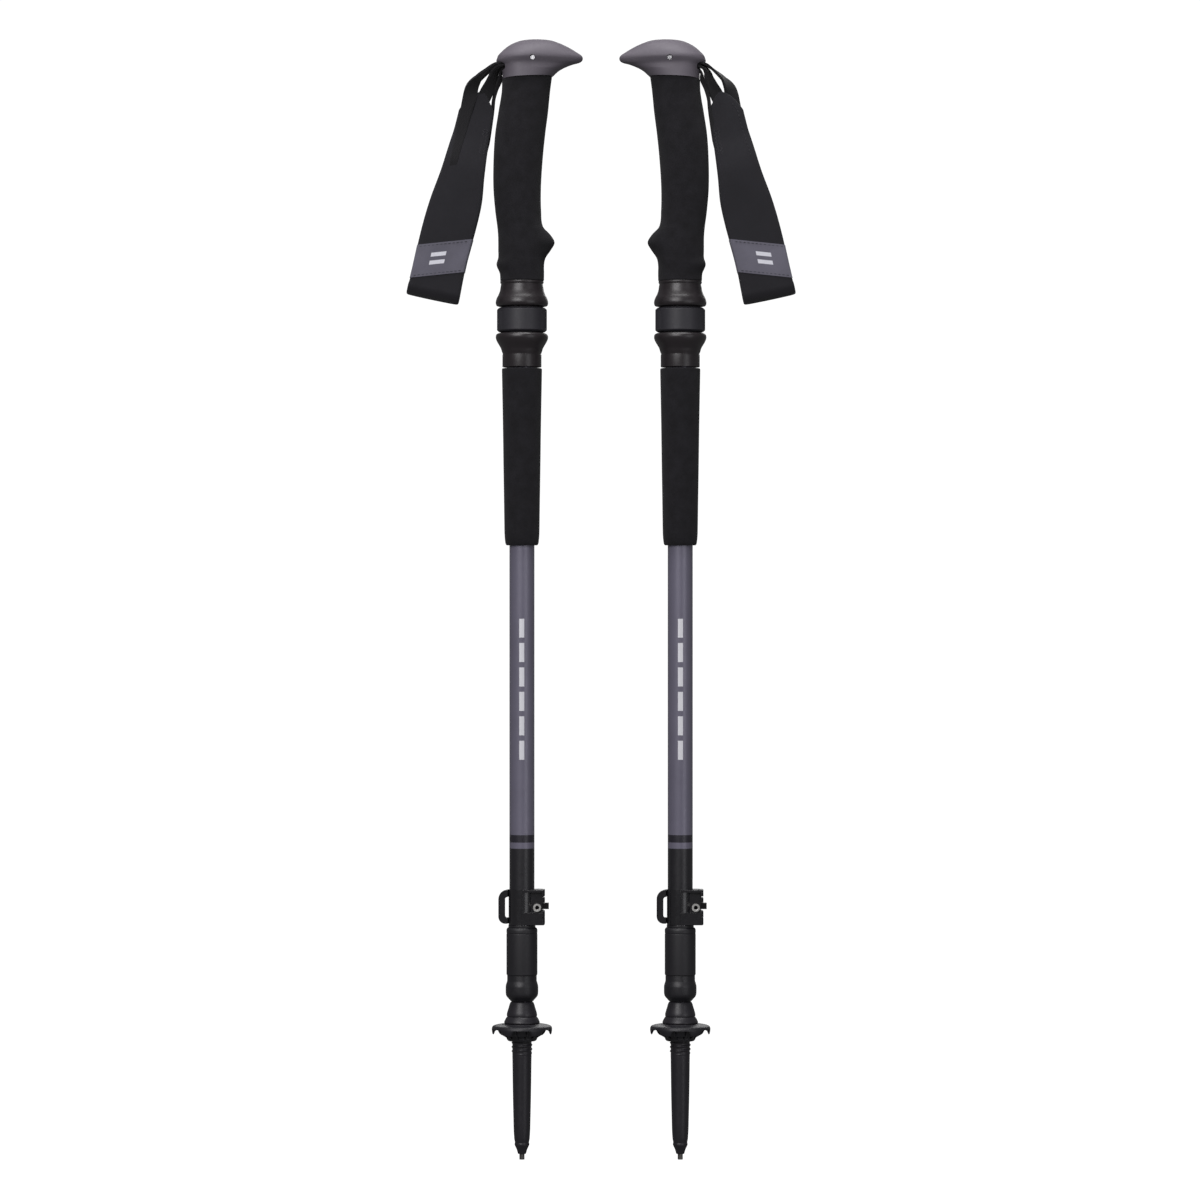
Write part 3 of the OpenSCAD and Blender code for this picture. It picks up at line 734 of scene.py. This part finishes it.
def shock_ring(side):
    """The elastomer ring: fine upright ribs on its two sides, smooth in front and behind."""
    outside, low, high, count, depth = 15.95, 530.8, 543.5, 72, 0.3

    def ribs(r, z, angle):
        sides = np.clip((np.abs(np.cos(angle)) - 0.72) / 0.1, 0, 1)
        level = np.clip((min(z - low, high - z)) / 0.8, 0, 1)
        return (depth * sides * level * (np.cos(angle * count) - 1) / 2) if r > 15 else 0 * angle

    outline = [
        [13.0, 528.6], [13.0, 529.3], [14.6, 529.3], [outside, 530.6], [outside, 532.0], [outside, 537.0],
        [outside, 542.0], [outside, 543.7], [14.6, 545.0], [13.0, 545.0], [13.0, 545.6], [8.6, 545.6],
        [8.6, 528.6],
    ]
    dense = []
    for a, b in zip(outline, outline[1:] + outline[:1]):
        dense.append(a)
        if a[0] == b[0] == outside:
            dense += [[outside, z] for z in np.linspace(a[1], b[1], 5)[1:-1]]
    obj = lathe(f"{side}_ring", dense, on_pole(side), 6 * count, 0.9, ribs)
    finish_piece(obj, f"{side}_shock_ring", RING, f"{side}_shaft", 50)
    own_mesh(obj)


def foam_sleeve(side):
    """The long tapered foam sleeve under the collars."""
    rows = [
        [393.6, 10.35], [394.6, 10.65], [399, 11.1], [404, 11.25], [422, 11.5], [441, 11.8], [470, 12.2],
        [505.4, 12.84],
    ]
    heights = np.concatenate([np.linspace(393.6, 399, 8), np.linspace(401, 505.4, 60)])
    outside = [[r, z] for z, (r,) in zip(heights, hermite(rows, heights))]
    outline = [[8.02, 393.0], [9.9, 393.0]] + outside + [[12.6, 506.2], [8.02, 506.2]]
    obj = lathe(f"{side}_sleeve_foam", outline, on_pole(side), 96, 0.5)
    finish_piece(obj, f"{side}_foam_sleeve", FOAM, f"{side}_shaft", 50)


# ---------- strap ----------

LEAN = math.radians(12)
# How far down the strap, and how far the band reaches to its left and to its right there.
WIDTH_ROWS = [
    [16, 5.0, -3.2], [17, 6.6, -1.9], [19, 9.2, 0.3], [22, 11.8, 2.3], [24, 13.0, 4.0], [26, 14.0, 5.3],
    [30, 16.0, 6.2], [33, 16.2, 6.4], [43, 16.6, 6.7], [51, 17.4, 7.1], [69, 19.2, 8.5], [87, 22.2, 10.4],
    [104, 23.6, 10.3], [129, 24.0, 8.9], [152, 24.7, 9.3],
]
FOLD_V = 146.0
LAYER_Y = 5.6
LAYER_OFFSETS = [16, 34, 46, 54, 64, 80], [1.25, 1.7, 2.3, 3.9, 5.3, LAYER_Y]
BAND_TOP, BAND_BOTTOM = 113.0, 134.5


def hang(u, v, y):
    """Strap frame (across, down, towards the back) to the pole frame."""
    x = MOUTH[0] + u * math.cos(LEAN) - v * math.sin(LEAN)
    z = MOUTH[1] - v * math.cos(LEAN) - u * math.sin(LEAN)
    return np.stack(np.broadcast_arrays(x, y, z), axis=-1)


def layer_path():
    """Stations (v, y, along, tangent) down the front layer, round the fold and up the back one."""
    stretches = (16, 60, 40), (61.5, 112, 40), (BAND_TOP, BAND_BOTTOM, 22), (135.4, FOLD_V, 14)
    down = np.concatenate([np.linspace(*stretch) for stretch in stretches])
    offset = np.interp(down, *LAYER_OFFSETS)
    offset = np.convolve(np.pad(offset, 3, "edge"), np.ones(7) / 7, "valid")
    turn = np.linspace(0, math.pi, 22)[1:-1]
    v = np.concatenate([down, FOLD_V + LAYER_Y * np.sin(turn), down[::-1]])
    y = np.concatenate([-offset, -LAYER_Y * np.cos(turn), offset[::-1]])
    step = np.hypot(np.gradient(v), np.gradient(y))
    return v, y, np.gradient(v) / step, np.gradient(y) / step


def half_thickness(v):
    """Half the thickness of one layer of the band, v millimetres down the strap."""
    return np.interp(v, [16, 22, 34, 46, 60], [0.35, 1.0, 1.5, 1.45, 1.4])


def pad_section():
    """The band's cross-section: places from -1 to 1 across it, and the share of its thickness there."""
    rim = [-1, -0.992, -0.975, -0.95]
    place = np.concatenate([rim, np.linspace(-0.91, 0.91, 21), np.negative(rim[::-1])])
    edge = np.sqrt(np.clip(1 - np.abs(place) ** 22, 0, 1))
    crown = 0.82 + 0.18 * (1 - place**2)
    return place, edge * crown


def pad_rings(first=0, last=None, grow=0.0):
    """Rings round the band, grow millimetres outside it. They slant along the woven band's edges."""
    v0, y0, tv, ty = layer_path()
    place, share = pad_section()
    rings, uvs = [], []
    for i in range(*slice(first, last).indices(len(v0))):
        level = min(v0[i], FOLD_V)
        left, right = hermite(WIDTH_ROWS, [v0[i]])[0]
        slant = BAND_SLANT * np.interp(level, [60, 105, 136, 146], [0, 1, 1, 0])
        middle, half = (right - left) / 2, (right + left) / 2
        across = middle + (half + grow) * place
        v = v0[i] - slant * across if level < FOLD_V else np.full(len(across), v0[i])
        sag = 0.25 * np.sin(v / 17 + 1.2) * np.cos(across / 9) * (1 if y0[i] < 0 else -1)
        thick = half_thickness(v0[i]) * share + grow * (share > 0)
        sides = []
        for sign in (1, -1):
            dv, dy = -sign * ty[i] * thick, sign * tv[i] * thick
            sides.append((across, v + dv, y0[i] + dy + sag * (1 - abs(ty[i]))))
        u, down, y = (np.concatenate([a, b[-2:0:-1]]) for a, b in zip(*sides))
        rings.append(hang(u, down, y))
        uvs.append(np.column_stack([u, down]))
    return rings, uvs


def strap_pad(side):
    """The padded band, and the grey woven band round each of its two layers."""
    rings, uvs = pad_rings()
    obj = rings_object(f"{side}_band", rings, on_grip(side), False, uvs)
    finish_piece(obj, f"{side}_strap_pad", STRAP, f"{side}_strap", 60)
    v0, _, _, _ = layer_path()
    for number, half in enumerate(np.array_split(np.arange(len(v0)), 2)):
        inside = [i for i in half if BAND_TOP <= v0[i] <= BAND_BOTTOM]
        outer, outer_uv = pad_rings(inside[0], inside[-1] + 1, 0.28)
        inner, inner_uv = pad_rings(inside[0], inside[-1] + 1, 0.02)
        patch = rings_object(
            f"{side}_woven_band_{number + 1}", outer + inner[::-1], on_grip(side), True,
            outer_uv + inner_uv[::-1],
        )
        finish_piece(patch, None, BAND_WEAVE, f"{side}_strap", 60)


def ribbon(name, stations, matrix):
    """A flat tape through rows of x, y, z, width, thickness and turn in the pole frame.

    Turn 0 has the tape's width along y, and 90 has it in the x-z plane.
    """
    stations = np.asarray(stations, float)
    path = curve(stations[:, :3], 8)
    ahead = np.gradient(path, axis=0)
    ahead /= np.linalg.norm(ahead, axis=1)[:, None]
    at, knots = np.linspace(0, 1, len(path)), np.linspace(0, 1, len(stations))
    width, thick, turn = (np.interp(at, knots, column) for column in stations[:, 3:].T)
    section = rounded([(-1, -1), (1, -1), (1, 1), (-1, 1)], 0.3, 3)
    distance = np.concatenate([[0], np.cumsum(np.linalg.norm(np.diff(path, axis=0), axis=1))])
    rings, uvs = [], []
    for i, centre in enumerate(path):
        y_axis = np.array([0.0, 1.0, 0.0])
        side = np.cross(ahead[i], y_axis)
        side /= np.linalg.norm(side)
        flat = math.cos(math.radians(turn[i])) * y_axis + math.sin(math.radians(turn[i])) * side
        normal = np.cross(ahead[i], flat)
        corners = section * (width[i] / 2, thick[i] / 2)
        rings.append(centre + corners[:, :1] * flat + corners[:, 1:] * normal)
        uvs.append(np.column_stack([corners[:, 0], np.full(len(corners), distance[i])]))
    return rings_object(name, rings, matrix, False, uvs)


# Each strand has rows of x, y, z, width, thickness and turn, from the pin to the band.
STRANDS = {
    "outer": [
        (5, 0, 706.2, 15, 1.4, 0),
        (-6, 0, 703.2, 15, 1.4, 0),
        (-12.5, 0, 701.6, 15, 1.5, 0),
        (-17.4, 0, 700.1, 14, 1.7, 3),
        (-22.4, -0.6, 696.4, 12, 1.8, 8),
        (-27.9, -1.8, 691.6, 10, 1.8, 18),
        (-31.6, -2.6, 686.2, 9.4, 1.7, 50),
        (-33.2, -3.0, 680.3, 9.0, 1.6, 78),
        (-34.8, -3.1, 674.0, 8.2, 1.4, 88),
        (-36.6, -3.2, 667.0, 7.4, 1.3, 90),
        (-38.9, -3.6, 657.0, 6.4, 1.2, 90),
        (-40.4, -4.5, 651.0, 5.8, 1.2, 90),
        (-41.8, -5.5, 645.0, 5.2, 1.2, 90),
        (-43.2, -6.2, 639.0, 4.8, 1.2, 90),
        (-44.4, -6.0, 633.0, 4.2, 1.0, 90),
    ],
    "middle": [
        (5, 0, 701.2, 15, 1.4, 0),
        (-6, 0, 699.8, 15, 1.4, 0),
        (-12.0, 0, 699.3, 14, 1.6, 4),
        (-15.6, 0, 698.2, 12, 2.2, 12),
        (-17.6, 0, 695.4, 10.5, 2.2, 20),
        (-18.5, 0, 691.8, 10, 2.0, 32),
        (-20.2, -0.1, 687.5, 9, 2.0, 50),
        (-22.7, -0.2, 682.6, 8.8, 1.8, 70),
        (-25.4, 0, 677.0, 8.6, 1.4, 88),
    ],
    "inner": [
        (-10.5, 0, 697.8, 11, 1.3, 0),
        (-12.4, 1.0, 697.3, 8, 1.4, 4),
        (-13.7, 1.6, 694.4, 5, 1.5, 10),
        (-13.9, 1.8, 691.6, 3.6, 1.5, 30),
        (-14.7, 1.9, 689.0, 2.8, 1.5, 60),
        (-16.3, 2.0, 685.0, 2.4, 1.5, 80),
        (-18.1, 2.2, 678.5, 2.3, 1.5, 90),
        (-18.9, 2.3, 671.0, 2.4, 1.5, 90),
        (-20.6, 2.4, 662.0, 3.4, 1.5, 90),
        (-22.4, 2.6, 652.0, 4.0, 1.4, 90),
        (-24.0, 3.4, 645.5, 4.0, 1.2, 90),
    ],
}


def webbing(side):
    """Three strands of tape, from the pin through the slot to the band, which bend at the slot's mouth."""
    for name, stations in STRANDS.items():
        obj = ribbon(f"{side}_tape_{name}", stations, on_grip(side))
        stands_for = f"{side}_strap_webbing" if name == "outer" else None
        finish_piece(obj, stands_for, WEBBING, None, 50)
        bend_at_mouth(obj)


def bend_at_mouth(obj):
    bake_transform(obj)


def stitch(centre, direction, length, radius, count=6):
    """Rings of one short thread, thicker in its middle."""
    centre, direction = np.array(centre), np.array(direction) / np.linalg.norm(direction)
    side = np.cross(direction, [0, 1, 0])
    side /= np.linalg.norm(side)
    rise = np.cross(direction, side)
    angle = np.linspace(0, 2 * math.pi, count, endpoint=False)
    rings = []
    for t, r in ((-0.5, 0.3), (-0.32, 0.85), (0, 1.0), (0.32, 0.85), (0.5, 0.3)):
        spokes = np.outer(np.cos(angle), side) + np.outer(np.sin(angle), rise)
        rings.append(centre + direction * length * t + spokes * radius * r)
    return rings


def surface_y(v, back):
    """Where the outside of the band lies, front or back, away from its edges."""
    y = np.interp(v, *LAYER_OFFSETS) + half_thickness(v) * 0.93
    return y if back else -y


def strap_stitching(side):
    """A zigzag and a running stitch near the top of the band, and a row along each edge of the woven band."""
    threads = []
    for back in (False, True):
        lift = 0.05 if back else -0.05
        for v in np.arange(40, 55, 1.15):
            _, right = hermite(WIDTH_ROWS, [v])[0]
            for n, inset in enumerate((1.9, 4.3)):
                u = right - inset
                slope = 0.75 if (round(v / 1.15) + n) % 2 else -0.75
                centre = hang(u, v, surface_y(v, back) + lift)
                threads.append((centre, hang(u + 1, v + slope, 0) - hang(u, v, 0), 2.2, 0.2))
        for v in np.arange(26, 60, 2.6):
            left, _ = hermite(WIDTH_ROWS, [v])[0]
            u = 3.6 - left
            centre = hang(u, v, surface_y(v, back) + lift)
            threads.append((centre, hang(u - 0.12, v + 1, 0) - hang(u, v, 0), 1.9, 0.24))
        for edge in (BAND_TOP + 1.3, BAND_BOTTOM - 1.3):
            for u in np.arange(-21.5, 8, 2.5):
                v = edge - BAND_SLANT * u
                centre = hang(u, v, surface_y(80, back) + (0.26 if back else -0.26))
                threads.append((centre, hang(u + 1, v - BAND_SLANT, 0) - hang(u, v, 0), 1.7, 0.2))
    obj = cluster(f"{side}_stitching", [stitch(*thread) for thread in threads], on_grip(side))
    finish_piece(obj, None, THREAD, f"{side}_strap", 80)


# ---------- quick release, tip and basket ----------


def lock(side):
    """The quick release: its housing with the bulge, and the long collar."""
    bulge = flared(
        [[7.3, 101.5], [8.4, 102.8], [9.5, 104.0], [10.15, 105.2], [10.4, 106.8], [10.42, 109.4],
         [10.35, 111.2], [9.95, 112.8], [9.55, 114.0]]
    )
    outline = [[7.0, 101.4]] + bulge + [
        [9.45, 114.6], [9.45, 118.0], [8.65, 118.0], [8.65, 130.1], [7.75, 130.1], [7.75, 143.6],
        [8.25, 143.6], [8.25, 148.6], [8.65, 148.6], [8.65, 150.1], [7.02, 150.1], [7.02, 131.0],
        [6.05, 131.0], [6.05, 101.4],
    ]
    obj = lathe(f"{side}_release_housing", outline, on_pole(side), 96, 0.2)
    finish_piece(obj, f"{side}_lock_housing", LOCK, f"{side}_middle", 45)
    outside = [[9.5, 118.0], [9.9, 118.5], [9.9, 144.45], [9.62, 144.8], [9.9, 145.15], [9.9, 146.9]]
    outside += flared([[9.86, 147.2], [9.5, 148.0], [8.9, 148.45]], 4)
    inside = [
        [8.3, 148.5], [8.3, 143.9], [9.2, 143.9], [9.2, 130.3], [8.7, 130.3], [8.7, 121.5], [9.5, 121.5],
    ]
    obj = lathe(f"{side}_release_collar", outside + inside, on_pole(side), 96, 0.22)
    finish_piece(obj, f"{side}_lock_collar", SLEEVE, f"{side}_collar", 45)


THREAD_FROM, THREAD_TO, PITCH = 66.6, 87.3, 2.7


def tip(side):
    """The tip body, with a true helical thread for the basket."""

    def helix(r, z, angle):
        if not THREAD_FROM - 1 < z < THREAD_TO or not 5.9 < r < 6.3:
            return 0 * angle
        phase = ((z - THREAD_FROM) / PITCH - angle / (2 * math.pi)) % 1
        crest = np.clip(1.45 - np.abs(phase - 0.5) * 5.2, 0, 1)
        turn_in = np.clip((z - THREAD_FROM - 0.4) / 2.0, 0, 1)
        return 0.52 * crest * turn_in

    shank = flared([[2.75, 4.2], [3.3, 6.2], [4.1, 8.0], [4.7, 9.3]], 3)
    shank += [[4.72, 10.1], [4.5, 10.8], [4.62, 11.6]]
    shank += flared(
        [[4.95, 13.1], [5.3, 18.9], [5.5, 27.0], [5.75, 38.0], [5.95, 50.0], [6.1, 62.0], [6.15, 66.0]], 4
    )
    thread = [[6.15, z] for z in np.arange(66.3, 87.25, 0.19)]
    cone = [[6.15, 87.3], [11.3, 87.3], [11.4, 88.0]]
    cone += flared([[11.2, 88.6], [10.5, 90.0], [9.85, 91.0], [9.4, 91.6]], 3)
    cone += [[9.35, 91.75], [9.7, 91.95], [9.72, 92.5]]
    cone += flared([[9.6, 93.6], [9.0, 95.7], [8.4, 97.6], [7.9, 99.4], [7.3, 100.7]], 3)
    bore = [[6.9, 101.0], [6.02, 101.0], [6.02, 88.2], [1.24, 88.2], [1.24, 3.6]]
    outline = [[2.5, 3.6]] + shank + thread + cone + bore
    obj = lathe(f"{side}_tip", outline, on_pole(side), 80, 0.15, helix)
    finish_piece(obj, f"{side}_tip_body", TIP, f"{side}_lower", 45)


def basket(side):
    """A small basket: a dished disc with a rim that curls down in six teeth, and a scalloped underside."""
    segments, lip_r, lip_z = 144, 16.4, 83.7

    def scallop(r, z, angle):
        if z > 83.0 or r > 17.2 or r < 8.5:
            return 0 * angle
        return 0.38 * (np.cos(angle * 12) - 1) * np.clip((r - 8.5) / 3, 0, 1)

    def between_teeth(r, z, angle):
        if r < lip_r or z > lip_z:
            return 0 * angle
        return (lip_z - z) * (1 - np.clip((np.cos(6 * angle) - 0.10) / 0.49, 0, 1))

    under = [[7.6, 75.8], [8.9, 76.0]] + flared(
        [[9.7, 77.0], [9.85, 78.4], [10.3, 79.4], [11.2, 80.0], [12.1, 79.7], [13.1, 79.6], [13.8, 80.3],
         [14.4, 81.3], [15.2, 82.6], [15.9, 83.4]], 3
    )
    lip = flared(
        [[16.6, 83.6], [17.1, 82.7], [17.5, 81.7], [17.95, 80.7], [18.4, 80.2], [18.85, 80.5], [19.15, 81.9],
         [19.3, 83.4], [19.15, 84.5], [18.6, 85.4], [17.4, 85.95]], 3
    )
    top = [[15.6, 86.3], [14.0, 86.45], [12.6, 86.6], [11.9, 87.0], [6.6, 87.0], [6.6, 75.8]]
    outline = under + lip + top
    obj = lathe(f"{side}_basket_disc", outline, on_pole(side), segments, 0.2, scallop, between_teeth)
    finish_piece(obj, f"{side}_basket", BASKET, f"{side}_basket", 50)


def basket_ribs(side):
    """Twelve upright ribs under the basket's disc."""
    ribs = []
    corners = [(8.4, 76.4), (10.6, 78.4), (14.6, 80.7), (16.1, 83.4), (16.1, 84.8), (8.4, 84.8)]
    profile = rounded(corners, 0.6, 3)
    middle, count = profile.mean(axis=0), 12
    for i in range(count):
        angle = 2 * math.pi * (i + 0.5) / count
        outward = np.array([math.cos(angle), math.sin(angle)])
        across = np.array([-math.sin(angle), math.cos(angle)])
        rings = []
        for offset, shrink in ((-0.45, 0.96), (-0.35, 1.0), (0.35, 1.0), (0.45, 0.96)):
            spot = middle + (profile - middle) * shrink
            plan = spot[:, :1] * outward + across * offset
            rings.append(np.column_stack([plan, spot[:, 1]]))
        ribs.append(rings)
    obj = cluster(f"{side}_basket_ribs", ribs, on_pole(side))
    finish_piece(obj, None, BASKET, f"{side}_basket", 50)


# Each spring: mean radius, wire radius, low and high end, turns, joint, share left at its limit, and body.
SPRINGS = {
    "shock_spring": (5.6, 0.9, 592.1, 654.9, 9, "shock_travel", 0.92, "shaft"),
    "collar_spring": (8.48, 0.4, 130.2, 143.5, 5, "collar_pull", 0.77, "middle"),
}


def spring(side, base):
    """A steel coil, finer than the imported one."""
    mean_r, wire_r, low, high, turns, joint, keep, body = SPRINGS[base]
    steps, wire = 28, 10
    total = turns * steps
    around = np.linspace(0, 2 * math.pi, wire, endpoint=False)
    rings = []
    for i in range(total + 1):
        a = 2 * math.pi * i / steps
        z = low + wire_r + (high - low - 2 * wire_r) * i / total
        r = mean_r + wire_r * np.cos(around)
        rings.append(np.column_stack([r * math.cos(a), r * math.sin(a), z + wire_r * np.sin(around)]))
    obj = rings_object(f"{side}_{base}_coil", rings, on_pole(side), False)
    finish_piece(obj, f"{side}_{base}", STEEL, f"{side}_{body}", 60)
    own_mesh(obj)


# ---------- everything on each pole ----------

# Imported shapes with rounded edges: the rounding in millimetres, look and slot.
SOFTENED = [
    ("clamp_band", 0.4, CLAMP, "clamp_paint"),
    ("clamp_lever", 0.5, CLAMP, "clamp_paint"),
    ("barrel_nut", 0.2, CLAMP, "clamp_paint"),
    ("tension_screw", 0.14, SCREW, "screw_steel"),
    ("strap_pin", 0.25, STEEL, "steel"),
    ("carbide_tip", 0.12, CARBIDE, "carbide"),
]
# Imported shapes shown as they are.
KEPT = {
    "upper_shaft": PAINT,
    "middle_shaft": TUBE,
    "lower_shaft": TUBE,
    "grip_core": INNER,
    "guide_rod": INNER,
    "clamp_insert": INNER,
    "middle_bush": BUSH,
    "lower_bush": BUSH,
    "lock_pawls": STEEL,
}


def node_body(node):
    for body, members in frame["record"]["behaviour"]["bodies"].items():
        if node in members:
            return body
    return "root"


def build_pole(side):
    pommel(side)
    foam_grip(side)
    collars(side)
    shock_ring(side)
    foam_sleeve(side)
    strap_pad(side)
    webbing(side)
    strap_stitching(side)
    lock(side)
    tip(side)
    basket(side)
    basket_ribs(side)
    for base in SPRINGS:
        spring(side, base)
    for base, width, look, slot in SOFTENED:
        node = f"{side}_{base}"
        softened(node, width, look, node_body(node))
    for base, look in KEPT.items():
        mesh = NODES[f"{side}_{base}"].data
        mesh.materials.clear()
        mesh.materials.append(look.material)


for side in SIDES:
    build_pole(side)


# ---------- studio ----------


def glowing_floor():
    """A white floor, low enough for fully extended poles, that neither lights nor shows in them."""
    look = Look("studio_floor", Roughness=0.9, Emission_Strength=1.0)
    look.shader.inputs["Emission Color"].default_value = (0.95, 0.95, 0.95, 1)
    look.color(look.mix(look.noise(40, 2), (0.9, 0.9, 0.9, 1), (0.94, 0.94, 0.94, 1)))
    size, depth = 9000, -850
    corners = [(-size, -size, depth), (size, -size, depth), (size, size, depth), (-size, size, depth)]
    floor = new_object("floor", corners, [(0, 1, 2, 3)], Matrix.Identity(4))
    floor.data.materials.append(look.material)
    floor.visible_diffuse = False
    floor.visible_glossy = False


def studio_world(ambient):
    """White behind everything, and a dim even light."""
    world = bpy.data.worlds.new("studio")
    bpy.context.scene.world = world
    world.use_nodes = True
    tree = world.node_tree
    background = tree.nodes["Background"]
    background.inputs["Color"].default_value = (1, 1, 1, 1)
    seen = tree.nodes.new("ShaderNodeLightPath").outputs["Is Camera Ray"]
    strength = tree.nodes.new("ShaderNodeMapRange")
    strength.inputs["To Min"].default_value = ambient
    strength.inputs["To Max"].default_value = 1.05
    tree.links.new(seen, strength.inputs["Value"])
    tree.links.new(strength.outputs[0], background.inputs["Strength"])


def soft_light(name, place, target, size, power, tint=(1, 1, 1)):
    data = bpy.data.lights.new(name, "AREA")
    data.shape = "RECTANGLE"
    data.size, data.size_y = size
    data.energy = power
    data.color = tint
    light = bpy.data.objects.new(name, data)
    bpy.context.scene.collection.objects.link(light)
    light.location = place
    light.rotation_euler = (Vector(target) - Vector(place)).to_track_quat("-Z", "Y").to_euler()


def studio():
    low, high = CAD_BOX
    middle = (low + high) / 2
    glowing_floor()
    studio_world(0.16)
    soft_light("key", (-0.9, -2.3, 1.6), (0, 0, 0.42), (1.5, 1.5), 44, (1.0, 0.985, 1.0))
    soft_light("fill", (1.5, -1.9, 0.5), (0, 0, 0.35), (1.0, 1.6), 8, (0.97, 0.97, 1.0))
    soft_light("top", (0.0, -0.25, 2.1), (0, 0, 0.7), (1.2, 0.8), 24)
    soft_light("behind", (0.3, 2.4, 1.4), (0, 0, 0.4), (1.6, 1.4), 13)
    camera = bpy.data.objects.new("camera", bpy.data.cameras.new("camera"))
    bpy.context.scene.collection.objects.link(camera)
    camera.data.lens = 135
    camera.data.sensor_width = 36
    frame_width, eye_height, nudge = 0.768, 0.358, 0.0007
    distance = frame_width * camera.data.lens / camera.data.sensor_width
    camera.location = (middle.x - nudge, -distance, eye_height)
    camera.rotation_euler = (math.pi / 2, 0, 0)
    bpy.context.scene.camera = camera
    bpy.context.scene.view_settings.view_transform = "Standard"


studio()
